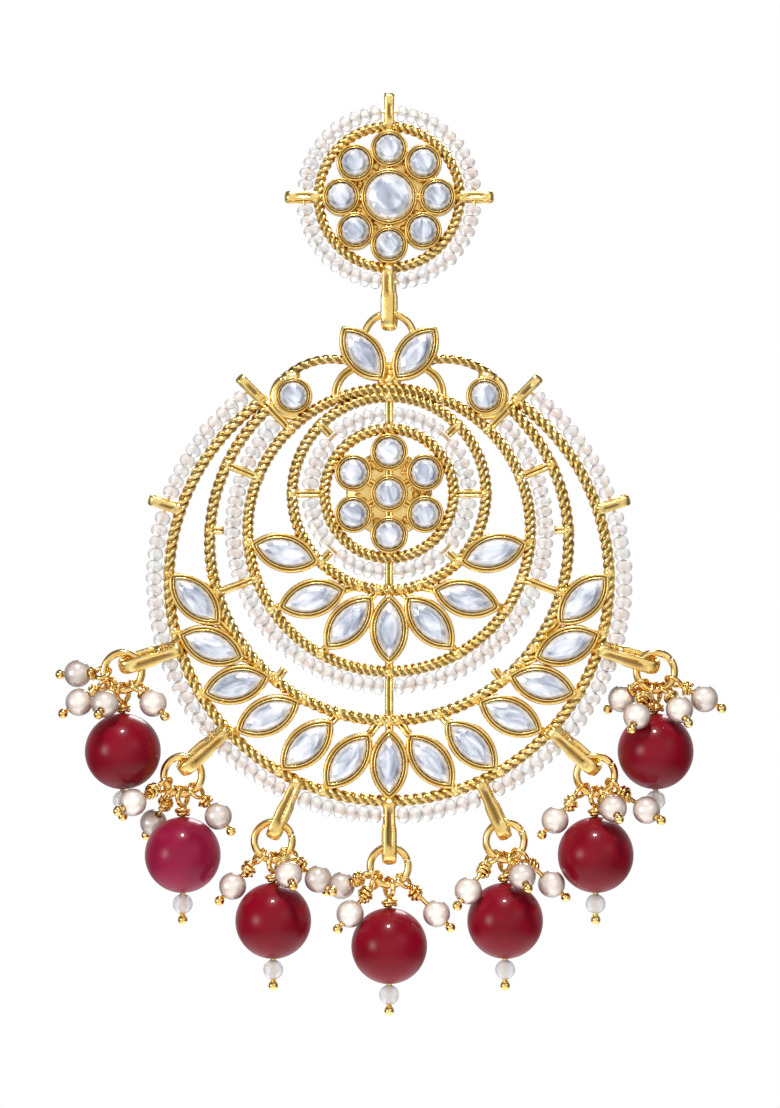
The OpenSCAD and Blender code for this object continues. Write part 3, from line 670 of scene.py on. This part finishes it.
def add_node(tree, kind, output, inputs, **settings):
    """Adds a node with its settings and inputs and returns one of its outputs."""
    node = tree.nodes.new(kind)
    for label, value in settings.items():
        setattr(node, label, value)
    feed(node, inputs)
    return node.outputs[output]


def value_node(tree, label):
    return add_node(tree, "ShaderNodeAttribute", "Fac", {}, attribute_name=label)


def noise_node(tree, size_mm, detail=3.0):
    """Noise in the object's own space, with spots of about size_mm."""
    space = add_node(tree, "ShaderNodeTexCoord", "Object", {})
    return add_node(tree, "ShaderNodeTexNoise", "Fac", {
        "Vector": space, "Scale": 1 / (size_mm * MM), "Detail": detail})


def ramp_node(tree, source, stops):
    ramp = tree.nodes.new("ShaderNodeValToRGB")
    elements = ramp.color_ramp.elements
    while len(elements) < len(stops):
        elements.new(0.5)
    for element, (position, color) in zip(elements, stops):
        element.position = position
        element.color = (*color, 1.0)
    feed(ramp, {"Fac": source})
    return ramp.outputs["Color"]


def mix_node(tree, factor, a, b, blend="MIX"):
    return add_node(tree, "ShaderNodeMix", "Result", {"Factor": factor, "A": a, "B": b}, data_type="RGBA",
                    blend_type=blend)


def range_node(tree, source, low, high):
    return add_node(tree, "ShaderNodeMapRange", "Result", {"Value": source, "To Min": low, "To Max": high})


def math_node(tree, operation, a, b):
    return add_node(tree, "ShaderNodeMath", "Value", {0: a, 1: b}, operation=operation)


def bump_node(tree, source, height_mm):
    return add_node(tree, "ShaderNodeBump", "Normal", {"Height": source, "Distance": height_mm * MM})


def facing_node(tree):
    """0 where a surface faces the eye, 1 where it turns away, as in clear or layered skins."""
    return add_node(tree, "ShaderNodeLayerWeight", "Facing", {"Blend": 0.4})


WHITE = (1.0, 1.0, 1.0)
BLACK = (0.0, 0.0, 0.0)
GOLD_LIGHT = (0.98, 0.75, 0.31)
GOLD_MID = (0.9, 0.6, 0.18)
GOLD_DEEP = (0.86, 0.5, 0.13)
GOLD_PAINTED_SHADE = (0.16, 0.065, 0.008)


def gold_material(name, rough, grain_mm, grain_size_mm, mid):
    """Gold plating: warmer patches, painted shade in dark brown in the hollows and grooves, and a fine cast
    grain.
    """
    material, tree, shader = node_tree(name)
    patches = ramp_node(tree, noise_node(tree, 1.6), ((0.35, mid), (0.65, GOLD_LIGHT)))
    # Painted shade: GOLD_PAINTED_SHADE mixed into the gold as far as the painted_light attribute goes
    feed(shader, {
        "Base Color": mix_node(tree, value_node(tree, "painted_light"), patches, GOLD_PAINTED_SHADE),
        "Metallic": 1.0,
        "Roughness": range_node(tree, noise_node(tree, 0.6), rough * 0.8, rough * 1.3),
        "Normal": bump_node(tree, noise_node(tree, grain_size_mm, 4.0), grain_mm)})
    return material


def stone_material():
    """Clear glass over crinkled foil: a painted reflection in white round the rim, blue-grey streaks along
    the middle.
    """
    material, tree, shader = node_tree("foiled_stone")
    spot = add_node(tree, "ShaderNodeCombineXYZ", "Vector", {
        "X": math_node(tree, "MULTIPLY", value_node(tree, "across"), 1.5),
        "Y": math_node(tree, "MULTIPLY", value_node(tree, "along"), 0.55),
        "Z": math_node(tree, "MULTIPLY", value_node(tree, "tint"), 40.0)})
    foil = add_node(tree, "ShaderNodeTexNoise", "Fac", {
        "Vector": spot, "Scale": 1.0, "Detail": 3.0, "Distortion": 0.6})
    cloudy = ramp_node(tree, foil, (
        (0.32, (0.3, 0.33, 0.42)), (0.46, (0.52, 0.56, 0.66)), (0.57, (0.76, 0.79, 0.87)),
        (0.7, (0.96, 0.96, 0.99))))
    # Painted reflection: white over the outer facets, giving way to the foil's streaks towards the table
    rim = ramp_node(tree, value_node(tree, "painted_light"), ((0.1, BLACK), (0.75, WHITE)))
    feed(shader, {
        "Base Color": mix_node(tree, rim, (0.95, 0.94, 0.95), cloudy),
        "Metallic": 0.4,
        "Roughness": range_node(tree, foil, 0.12, 0.34),
        "Coat Weight": 1.0,
        "Coat Roughness": 0.03,
        "Normal": bump_node(tree, noise_node(tree, 0.6), 0.05)})
    return material


def seed_material():
    """Translucent white glass seed beads, each a little different, with painted grey shade where they turn
    away.
    """
    material, tree, shader = node_tree("seed_glass")
    own = ramp_node(tree, value_node(tree, "tint"), (
        (0.0, (0.99, 0.92, 0.91)), (0.35, (1.0, 0.97, 0.96)), (0.7, WHITE), (1.0, (0.96, 0.97, 1.0))))
    # Painted shade: greyer where the bead turns away
    edge = ramp_node(tree, facing_node(tree), (
        (0.4, WHITE), (0.6, (0.84, 0.8, 0.8)), (0.9, (0.5, 0.46, 0.46))))
    feed(shader, {
        "Base Color": mix_node(tree, 1.0, own, edge, "MULTIPLY"),
        "Roughness": 0.5,
        "Transmission Weight": 0.68,
        "IOR": 1.5,
        "Subsurface Weight": 0.35,
        "Subsurface Radius": (0.0008, 0.0007, 0.0006),
        "Coat Weight": 0.5,
        "Coat Roughness": 0.05,
        "Normal": bump_node(tree, noise_node(tree, 0.5, 2.0), 0.008)})
    return material


def pearl_material():
    """Pearl coating: cream in the middle, then pinker, and painted grey-brown shade where it turns away."""
    material, tree, shader = node_tree("pearl")
    # Painted shade: grey-brown where the pearl turns away
    edge = ramp_node(tree, facing_node(tree), (
        (0.0, (0.97, 0.91, 0.84)), (0.18, (0.93, 0.85, 0.78)), (0.36, (0.66, 0.54, 0.49)),
        (0.6, (0.32, 0.24, 0.21)), (1.0, (0.18, 0.12, 0.1))))
    shade = ramp_node(tree, value_node(tree, "tint"), (
        (0.0, (0.72, 0.68, 0.68)), (0.5, (0.95, 0.92, 0.9)), (1.0, WHITE)))
    feed(shader, {
        "Base Color": mix_node(tree, 1.0, edge, shade, "MULTIPLY"),
        "Roughness": 0.24,
        "Metallic": 0.25,
        "Coat Weight": 0.7,
        "Coat Roughness": 0.08,
        "Normal": bump_node(tree, noise_node(tree, 0.9, 2.0), 0.015)})
    return material


def red_material(name, deep, light):
    """Polished red glass with soft cloudy patches."""
    material, tree, shader = node_tree(name)
    feed(shader, {
        "Base Color": ramp_node(tree, noise_node(tree, 5.0, 2.0), ((0.3, deep), (0.7, light))),
        "Roughness": 0.34,
        "Specular IOR Level": 0.1,
        "Subsurface Weight": 0.1,
        "Subsurface Radius": (0.003, 0.0006, 0.0008),
        "Coat Weight": 0.2,
        "Coat Roughness": 0.03,
        "Normal": bump_node(tree, noise_node(tree, 1.5, 2.0), 0.003)})
    return material


GOLD = gold_material("gold_cast", 0.24, 0.03, 0.25, GOLD_MID)
WIRE = gold_material("gold_wire", 0.16, 0.008, 0.4, GOLD_DEEP)
STONE = stone_material()
SEED = seed_material()
PEARL = pearl_material()
RED = red_material("red_glass", (0.17, 0.0008, 0.008), (0.23, 0.0015, 0.014))
PINK_RED = red_material("pink_red_glass", (0.21, 0.003, 0.028), (0.3, 0.012, 0.055))


def stud():
    """The round stud: rope ring, flower of settings and eyelets."""
    ring = Shape()
    rope(ring, STUD, STUD_RING_R, STUD_ROPE_D, STUD_STRAND)
    ring.build_metal("stud_rope_ring", "stud")

    flower = Shape()
    flower_sheet(flower, at(0, 0, 0), STUD_PETAL_R)
    solder_lumps(flower, STUD, STUD_PETALS, CENTRE_D / 2 + 0.75, STUD_PETAL_R)
    for i in range(STUD_PETALS):
        way = down(i * 360 / STUD_PETALS)
        bar(flower, STUD, STUD + way * STUD_RING_R)
        round_setting(flower, STUD_PETAL_R * way)
    round_setting(flower, STUD, CENTRE_D)
    flower.build_metal("stud_flower", "stud")

    eyes = Shape()
    for a, turn in ((90, -SIDE_EYE_TURN), (180, 4), (270, SIDE_EYE_TURN)):
        short_eyelet(eyes, STUD + down(a) * STUD_RING_R, down(a), turn)
    long_eyelet(eyes, STUD + down(0) * STUD_RING_R, down(0), HANG_EYE_L, ARCH_WIRE_D, STUD_ROPE_D,
                HANG_END, HANG_EYE_TURN, 3.8)
    eyes.build_metal("stud_eyelets", "stud")


def ear_post():
    """Post behind the stud, with a soldered foot and a groove near its end."""
    post = Shape()
    r = POST_D / 2
    lathe(post, at(0, 0, 0), Y_AXIS, (
        (0, -0.3), (1.5, -0.3), (1.5, 0.12), (1.2, 0.3), (r + 0.15, 0.4), (r, 0.6), (r, POST_L - 2.2),
        (r - 0.1, POST_L - 2.0), (r - 0.1, POST_L - 1.6), (r, POST_L - 1.4), (r, POST_L - 0.3),
        (r - 0.2, POST_L), (0, POST_L)), 24)
    post.build_metal("ear_post", "stud", WIRE)


def pendant_rings():
    rings = Shape()
    end_1 = seen_at(END_1, RING_1)
    end_2 = seen_at(END_2, RING_2)
    rope(rings, RING_1, RING_1_R, DROP_ROPE_D, RING_1_STRAND, -end_1, end_1)
    rope(rings, RING_2, RING_2_R, DROP_ROPE_D, RING_2_STRAND, -end_2, end_2)
    rope(rings, RING_3, RING_3_R, DROP_ROPE_D, INNER_STRAND)
    rope(rings, RING_4, RING_4_R, DROP_ROPE_D, INNER_STRAND)
    rope(rings, RING_4, RING_5_R, DROP_ROPE_D, INNER_STRAND)
    rings.build_metal("pendant_rope_rings", "drop")


def pendant_bars():
    """Bars and pegs between the rings, with solder where they end."""
    bars = Shape()
    joints = []

    def soldered_bar(a, b):
        bar(bars, a, b)
        joints.extend((a, b))

    for i in range(FLOWER_STOPS):
        way = down(i * 360 / FLOWER_STOPS)
        start = RING_5_R if i % 2 == 0 else RING_4_R - PEG_L
        bar(bars, RING_4 + start * way, RING_4 + RING_4_R * way)
        joints.append(RING_4 + RING_4_R * way)
    for s in (-1, 1):
        for a in MIDDLE_BARS:
            way = down(s * (180 - a))
            soldered_bar(RING_3 + RING_3_R * way, RING_3 + reach(RING_3, way, RING_2, RING_2_R) * way)
        for a in MIDDLE_PEGS:
            way = down(s * (180 - a))
            far = reach(RING_3, way, RING_2, RING_2_R)
            bar(bars, RING_3 + max(far - PEG_L, MIDDLE_PEG_R) * way, RING_3 + far * way)
            joints.append(RING_3 + far * way)
        way = down(s * (180 - END_AT))
        soldered_bar(RING_3 + RING_3_R * way, RING_3 + END_EYE_R * way)
    bar(bars, RING_3 + RING_3_R * down(0), RING_2 + RING_2_R * down(0))
    for s in (-1, 1):
        for rows, outer, outer_r, inner, inner_r in (
                (OUTER_BARS, RING_1, RING_1_R, RING_2, RING_2_R),
                (INNER_BARS, RING_3, RING_3_R, RING_4, RING_4_R)):
            for out, into in rows:
                if s > 0 or out:
                    soldered_bar(inner + inner_r * down(s * into), outer + outer_r * down(s * out))
    for point in joints:
        blob(bars, point, 0.66, 0.95)
    bars.build_metal("pendant_bars", "drop")


def pendant_settings():
    """Settings of both crescents, and the flower with its sheet."""
    settings = Shape()
    for node in [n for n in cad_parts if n.startswith(("outer_stone", "inner_stone"))]:
        middle, turn = stone_place(node)
        setting(settings, pointed_at(POINTED_L, POINTED_W), POINTED_WALL, middle, turn)
    flower_sheet(settings, RING_4 - MID_Y * Y_AXIS, FLOWER_PETAL_R)
    solder_lumps(settings, RING_4, FLOWER_PETALS, ROUND_D / 2 + 1.0, FLOWER_PETAL_R)
    round_setting(settings, RING_4)
    for i in range(FLOWER_PETALS):
        way = down(i * 360 / FLOWER_PETALS)
        bar(settings, RING_4, RING_4 + RING_5_R * way)
        round_setting(settings, RING_4 + FLOWER_PETAL_R * way)
    settings.build_metal("pendant_settings", "drop")


def pendant_eyelets():
    eyes = Shape()
    for a, turn in zip(DROP_AT, DROP_EYE_TURN):
        long_eyelet(eyes, RING_1 + RING_1_R * down(a), down(a), LONG_EYE_L, JUMP_WIRE_D, DROP_ROPE_D,
                    EYE_END, turn, 1.6)
    for s in (-1, 1):
        side = down(s * SIDE_EYE)
        end = down(s * (180 - END_AT))
        short_eyelet(eyes, RING_1 + RING_1_R * side, side, s * SIDE_EYE_TURN)
        short_eyelet(eyes, RING_3 + END_EYE_R * end, end, -s * SIDE_EYE_TURN / 2)
    eyes.build_metal("pendant_eyelets", "drop")


def side_bow(s, a, b, height):
    """Arc from a to b that bulges upwards on side s of the crown; b lies further out."""
    return bow(a, b, height) if s < 0 else bow(b, a, height)


def crown():
    """The crown over the rings: arch, scrolls and settings."""
    shape = Shape()
    wire_arc(shape, ARCH, ARCH_R, ARCH_WIRE_D)
    bar(shape, at(0, TOP_Z), at(0, TOP_Z + CROWN_H - CROWN_SIDE), BAR_W, SETTING_H / 2)
    lean = math.radians(CROWN_LEAN)
    for s in (-1, 1):
        middle = at(s * CROWN_SIDE, TOP_Z + CROWN_H)
        setting(shape, pointed_at(CROWN_L, POINTED_W), POINTED_WALL, middle, -s * lean)
        out = np.array((s * math.cos(lean), 0, -math.sin(lean)))
        shoulder = middle + out * POINTED_W / 2
        stone_at = RING_3 + CROWN_ROUND_R * down(s * (180 - CROWN_ROUND_AT))
        round_setting(shape, stone_at)
        end = math.radians(SCROLL_END_AT)
        knee = stone_at + ROUND_SETTING_R * np.array((s * math.sin(end), 0, math.cos(end)))
        foot = shoulder - POINTED_W / 4 * np.array((s * math.sin(lean), 0, math.cos(lean)))
        ground = RING_3 + RING_3_R * down(s * (180 - LEAF_FOOT_AT))
        centre, r, start, stop = side_bow(s, shoulder, knee, SCROLL_BOW)
        rope(shape, centre, r, SCROLL_D, SCROLL_STRAND, start, stop, SCROLL_CORE)
        path, rays, _ = arc(*side_bow(s, foot, ground, LEAF_BOW), 0.2)
        # Leaf wires of two strands, with painted shade in their groove
        section, deep = double_section(SCROLL_D * 0.95, SCROLL_D)
        sweep(shape, path, rays, section, False, deep)
        curl = sorted((s * (180 - SCROLL_END_AT + CURL_LAP), -s * CURL_END))
        wire_arc(shape, stone_at, ROUND_SETTING_R, CURL_D, *curl, 14, 0.15)
        solder = down(s * (180 - SCROLL_SOLDER_AT))
        wedge = stone_at + solder * (ROUND_SETTING_R - 0.3 + SCROLL_D / 4)
        sweep(shape, [wedge - solder * 0.5, wedge, wedge + solder * 0.5], Y_AXIS,
              oval(SETTING_H - SETTING_BACK, SCROLL_SOLDER_W, 16, 2.6))
        blob(shape, shoulder, SCROLL_D * 0.58)
        blob(shape, foot, SCROLL_D * 0.5)
        blob(shape, ground, SCROLL_D * 0.6)
    for x, up, size in CROWN_SOLDER:
        blob(shape, at(x, TOP_Z + up), size, 1.2)
    shape.build_metal("crown_metal", "drop")


def stones():
    """Every cut stone, in the place of its CAD node."""
    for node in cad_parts:
        if "stone" not in node:
            continue
        shape = Shape()
        body = "stud" if node.startswith("stud") else "drop"
        if node in ("stud_petal_stones", "flower_petal_stones"):
            centre, r, count = RING_4, FLOWER_PETAL_R, FLOWER_PETALS
            if body == "stud":
                centre, r, count = STUD, STUD_PETAL_R, STUD_PETALS
            for i in range(count):
                stone(shape, round_at(ROUND_D / 2), centre + r * down(i * 360 / count), RANDOM.random(), 12,
                      RANDOM.random())
        elif "pointed" in node or node.startswith(("inner", "outer")):
            middle, turn = stone_place(node)
            length = CROWN_L if "crown" in node else POINTED_L
            stone(shape, pointed_at(length, POINTED_W), middle, turn, 14, RANDOM.random())
        else:
            low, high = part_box(node)
            d = CENTRE_D if node == "stud_centre_stone" else ROUND_D
            middle = at((low.x + high.x) / 2 / MM, (low.z + high.z) / 2 / MM)
            stone(shape, round_at(d / 2), middle, RANDOM.random(), 14, RANDOM.random())
        shape.build("cut_" + node, STONE, body, [node], flat=True)


def seed_string(which, body, centre, r, stops, stop_w, seed_l=SEED_L):
    """Seed beads side by side along an arc, in groups between the stops, on a fine wire."""
    node = which + "_seed_string"
    shape = Shape()
    clear = math.degrees(math.asin((stop_w / 2 + 0.08) / r))
    around = np.sin(np.linspace(-math.pi / 2, math.pi / 2, 13))
    rise = (1 - np.abs(around) ** 2.2) ** 0.5
    outer_r = SEED_D / 2 + SEED_MORE
    for first, last in zip(stops[:-1], stops[1:]):
        start = first + clear
        end = last - clear
        count = max(1, round(math.radians(end - start) * r / seed_l))
        half = math.radians(end - start) * r / count / 2
        for i in range(count):
            a = start + (end - start) * (i + 0.5) / count
            size = RANDOM.uniform(1.0, 1.09)
            lift = RANDOM.uniform(-0.1, 0.0)
            bulge = RANDOM.uniform(0.95, 1.04)
            profile = list(zip(SEED_HOLE_R + (outer_r * size - SEED_HOLE_R) * rise, half * bulge * around))
            way = down(a)
            along = np.array((-way[2], 0.0, way[0]))
            along = along + RANDOM.uniform(-0.12, 0.12) * way + RANDOM.uniform(-0.1, 0.1) * Y_AXIS
            lathe(shape, centre + (r + lift) * way, along, profile, 18, True, 0.0, RANDOM.random())
    shape.build(which + "_seeds", SEED, body, [node])
    thread = Shape()
    wire_arc(thread, centre, r, THREAD_D, stops[0], stops[-1], 8, 0.6)
    thread.build(which + "_seeds_wire", WIRE, body, [node])


def seed_strings():
    seed_string("stud", "stud", STUD, STUD_STRING_R, (0, 90, 180, 270, 360), LONG_EYE_W)
    stops = [i * 360 / FLOWER_STOPS for i in range(FLOWER_STOPS + 1)]
    seed_string("flower", "drop", RING_4, FLOWER_STRING_R, stops, BAR_W)
    left = [a - 180 for a in (END_AT,) + MIDDLE_BARS]
    stops = left + [0] + [-a for a in reversed(left)]
    seed_string("middle", "drop", RING_3, MIDDLE_STRING_R, stops, BAR_W)
    end = RING_3 + END_DIR * reach(RING_3, END_DIR, RING_1, OUTER_STRING_R)
    last = seen_at(end, RING_1)
    stops = (-last, -SIDE_EYE) + DROP_AT + (SIDE_EYE, last)
    seed_string("outer", "drop", RING_1, OUTER_STRING_R, stops, LONG_EYE_W, OUTER_SEED_L)


def jump_at(i):
    eye = RING_1 + (RING_1_R + LONG_EYE_L - EYE_END / 2) * down(DROP_AT[i])
    return eye - at(0, JUMP_SINK, 0)


def coil(shape, start, axis, r, wire_d, turns, pitch):
    """Wire wound round an axis."""
    u, v = basis(axis)
    count = max(8, round(turns * 14))
    a = np.linspace(0, 2 * math.pi * turns, count + 1)
    rays = np.outer(np.cos(a), u) + np.outer(np.sin(a), v)
    path = start + rays * r + np.outer(a / (2 * math.pi) * pitch, unit(axis))
    sweep(shape, path, rays, oval(wire_d, wire_d, 8))


def headpin(shape, hang, way, across, eye_r, wire_d, bead_from, ball_at):
    """Pin with an eye round the jump ring, tight wire wraps between it and the bead, and a ball."""
    offset = eye_middle(wire_d, eye_r)
    eye = hang + way * offset
    thick = wire_d + WIRE_MORE
    twist = RANDOM.choice((-1, 1)) * RANDOM.uniform(*EYE_TWIST)
    across = across * math.cos(twist) + np.cross(way, across) * math.sin(twist)
    turns = np.linspace(0, 2 * math.pi, 29)[:-1]
    rays = np.outer(np.cos(turns), way) + np.outer(np.sin(turns), across)
    sweep(shape, eye + rays * eye_r, rays, oval(thick, thick, 10), True)
    straight = np.linspace(hang + way * (offset + eye_r), hang + way * ball_at, 4)
    sweep(shape, straight, across, oval(thick, thick, 10))
    start = offset + eye_r + wire_d * 0.5
    length = min(bead_from - start - WRAP_D * 0.4, 1.5)
    wraps = max(1.4, math.floor(length / WRAP_D))
    coil(shape, hang + way * start, way, thick * 0.5 + WRAP_D * 0.45, WRAP_D, wraps, length / wraps)
    over = thick * 0.5 + WRAP_D * RANDOM.uniform(0.9, 1.15)
    slant = unit(way + across * RANDOM.uniform(-0.3, 0.3))
    coil(shape, hang + way * (start + 0.15 * length), slant, over, WRAP_D, wraps * 0.65, length / wraps)
    lathe(shape, hang + way * ball_at, way, ball_profile(PIN_BALL_D / 2, 10), 16)


def pearl_way(row):
    """Direction and distance of a clustered pearl from the jump ring's wire."""
    drop, a, share, side, least = row
    flat = np.linalg.norm(RED_DROP * down(0) - RED_DROP * share * down(a))
    clear = RED_D / 2 + PEARL_D / 2 + HANG_GAP
    depth = side * max(least * PEARL_D, math.sqrt(max(0, clear ** 2 - flat ** 2)))
    way = (RED_DROP * share - JUMP_R) * down(a) + depth * Y_AXIS
    return unit(way), float(np.linalg.norm(way))


def drops():
    """Jump rings, each with the cut where its wire is joined, and red beads on their pins."""
    for i in range(len(DROP_AT)):
        number = str(i + 1)
        centre = jump_at(i)
        ring = Shape()
        cut = 118 + RANDOM.uniform(-14, 14)
        half_cut = 1.1
        path, rays, _ = arc(centre, JUMP_R, cut + half_cut, cut + 360 - half_cut, 0.3)
        sweep(ring, path, rays, oval(JUMP_WIRE_D, JUMP_WIRE_D, 14))
        ring.build("ring_" + number, WIRE, "drop", ["jump_ring_" + number])

        bead = Shape()
        profile = drilled_profile(RED_D / 2, RED_HOLE_D / 2, 34)
        lathe(bead, centre + RED_DROP * down(0), down(180), profile, 56, True)
        bead.build("red_glass_bead_" + number, PINK_RED if i == 1 else RED, "drop",
                   ["red_bead_" + number])

        pin = Shape()
        headpin(pin, centre + JUMP_R * down(0), down(0), Y_AXIS, PIN_EYE_R, PIN_WIRE_D,
                RED_DROP - JUMP_R - RED_D / 2, RED_DROP - JUMP_R + BALL_DROP)
        pin.build("wire_pin_" + number, WIRE, "drop", ["bead_pin_" + number])


def pearl_clusters():
    """The pearls that hang round the red beads, each on a pin of its own."""
    pearls = Shape()
    pins = Shape()
    for row in PEARLS:
        way, distance = pearl_way(row)
        hang = jump_at(row[0]) + JUMP_R * down(row[1])
        profile = drilled_profile(PEARL_D / 2, PEARL_HOLE_D / 2, 18)
        lathe(pearls, hang + way * distance, way, profile, 28, True, 0.0, RANDOM.random())
        across = unit(Y_AXIS - (Y_AXIS @ way) * way)
        headpin(pins, hang, way, across, PEARL_EYE_R, PEARL_WIRE_D, distance - PEARL_D / 2,
                distance + PEARL_D / 2 + HANG_GAP + PIN_BALL_D / 2)
    pearls.build("pearls", PEARL, "drop", ["cluster_pearls"])
    pins.build("pearl_pins", WIRE, "drop", ["cluster_pins"])


def tip_pearls():
    """The small pearl under each red bead."""
    tips = Shape()
    profile = drilled_profile(TIP_PEARL_D / 2, PEARL_HOLE_D / 2, 12)
    for i in range(len(DROP_AT)):
        centre = jump_at(i) + (RED_DROP + TIP_DROP) * down(0)
        lathe(tips, centre, down(180), profile, 20, True, 0.0, 0.8)
    tips.build("small_pearls", SEED, "drop", ["tip_pearls"])


# The studio, in metres: radius and height of the floor, where it starts to fade, what the lamps face
FLOOR_R = 0.18
FLOOR_Z = -0.14
FADE_FROM = 0.03
LAMPS_FACE = (0, 0, -0.038)
# Height of the picture as a multiple of the earring's height, and the camera's lens and sensor in mm
PICTURE_H = 1.2
LENS = 110
SENSOR_H = 36
# Glows of the studio: direction, how narrow it is, and strength
GLOWS = (
    ((-0.79, -0.61, 0.09), 60, 9.0), ((0.61, -0.67, 0.41), 25, 1.4),
    ((-0.69, 0.69, 0.2), 9, 0.5), ((0.69, 0.69, 0.2), 9, 0.5))
# Cosine below which a glow gets no weaker, where it is next to nothing
GLOW_FLOOR = 0.5


def grey(value):
    return (value, value, value)


def stage():
    """Round sheet of pale paper under the earring, which fades out towards its edge."""
    mesh = bpy.data.meshes.new("studio_floor")
    turns = np.linspace(0, 2 * math.pi, 65)[:-1]
    points = [(FLOOR_R * math.cos(a), FLOOR_R * math.sin(a), 0) for a in turns]
    mesh.from_pydata(points, [], [tuple(range(len(turns)))])
    material, tree, shader = node_tree("pale_paper")
    place_on = add_node(tree, "ShaderNodeTexCoord", "Object", {})
    far = add_node(tree, "ShaderNodeVectorMath", "Value", {0: place_on}, operation="LENGTH")
    fade = add_node(tree, "ShaderNodeMapRange", "Result", {
        "Value": far, "From Min": FADE_FROM, "From Max": FLOOR_R, "To Min": 1.0, "To Max": 0.0},
        interpolation_type="SMOOTHSTEP")
    feed(shader, {
        "Base Color": ramp_node(tree, noise_node(tree, 30.0), ((0.0, grey(0.6)), (1.0, grey(0.65)))),
        "Roughness": 0.9,
        "Emission Color": WHITE,
        "Emission Strength": 0.95,
        "Alpha": fade})
    mesh.materials.append(material)
    floor_object = bpy.data.objects.new("studio_floor", mesh)
    floor_object.location.z = FLOOR_Z
    bpy.context.scene.collection.objects.link(floor_object)


def area_light(name, place_at, size, power):
    light = bpy.data.lights.new(name, "AREA")
    light.shape = "DISK"
    light.size = size
    light.energy = power
    lamp = bpy.data.objects.new(name, light)
    lamp.location = place_at
    lamp.rotation_euler = (Vector(LAMPS_FACE) - Vector(place_at)).to_track_quat("-Z", "Y").to_euler()
    bpy.context.scene.collection.objects.link(lamp)


def light_node(tree, color, strength):
    return add_node(tree, "ShaderNodeBackground", "Background", {"Color": color, "Strength": strength})


def lights():
    """Two lamps, and a studio that is bright in front, dark to the sides, with four soft glows."""
    area_light("key", (-0.02, -0.24, 0.5), 0.09, 3.0)
    area_light("back", (0.1, 0.6, 0.35), 0.3, 2.2)
    world = bpy.data.worlds.new("studio")
    bpy.context.scene.world = world
    world.use_nodes = True
    tree = world.node_tree
    tree.nodes.remove(tree.nodes["Background"])
    around = add_node(tree, "ShaderNodeTexCoord", "Generated", {})
    depth = add_node(tree, "ShaderNodeSeparateXYZ", "Y", {"Vector": around})
    depth = add_node(tree, "ShaderNodeMapRange", "Result", {"Value": depth, "From Min": -1.0})
    walls = ramp_node(tree, depth, (
        (0.02, grey(0.95)), (0.12, grey(0.5)), (0.26, (0.12, 0.12, 0.125)), (0.7, (0.05, 0.05, 0.055)),
        (0.88, grey(0.25)), (1.0, grey(0.7))))
    lit = light_node(tree, walls, 1.0)
    for way, width, strength in GLOWS:
        near = add_node(tree, "ShaderNodeVectorMath", "Value", {0: around, 1: way}, operation="DOT_PRODUCT")
        narrow = math_node(tree, "POWER", math_node(tree, "MAXIMUM", near, GLOW_FLOOR), width)
        glow = light_node(tree, WHITE, math_node(tree, "MULTIPLY", narrow, strength))
        lit = add_node(tree, "ShaderNodeAddShader", "Shader", {0: lit, 1: glow})
    ray = tree.nodes.new("ShaderNodeLightPath").outputs
    seen = math_node(tree, "MAXIMUM", ray["Is Camera Ray"], ray["Is Transmission Ray"])
    paper = light_node(tree, WHITE, 1.0)
    studio = add_node(tree, "ShaderNodeMixShader", "Shader", {"Fac": seen, 1: lit, 2: paper})
    feed(tree.nodes["World Output"], {"Surface": studio})


def camera():
    low, high = CAD_BOX
    lens = bpy.data.cameras.new("camera")
    lens.lens = LENS
    lens.sensor_fit = "VERTICAL"
    lens.sensor_height = SENSOR_H
    distance = (high.z - low.z) * PICTURE_H * LENS / SENSOR_H
    eye = bpy.data.objects.new("camera", lens)
    eye.location = ((low.x + high.x) / 2, MID_Y * MM - distance, (low.z + high.z) / 2)
    eye.rotation_euler = (math.pi / 2, 0, 0)
    bpy.context.scene.collection.objects.link(eye)
    bpy.context.scene.camera = eye
    bpy.context.scene.view_settings.view_transform = "Standard"


stud()
ear_post()
pendant_rings()
pendant_bars()
pendant_settings()
pendant_eyelets()
crown()
stones()
seed_strings()
drops()
pearl_clusters()
tip_pearls()
stage()
lights()
camera()

bpy.context.view_layer.update()
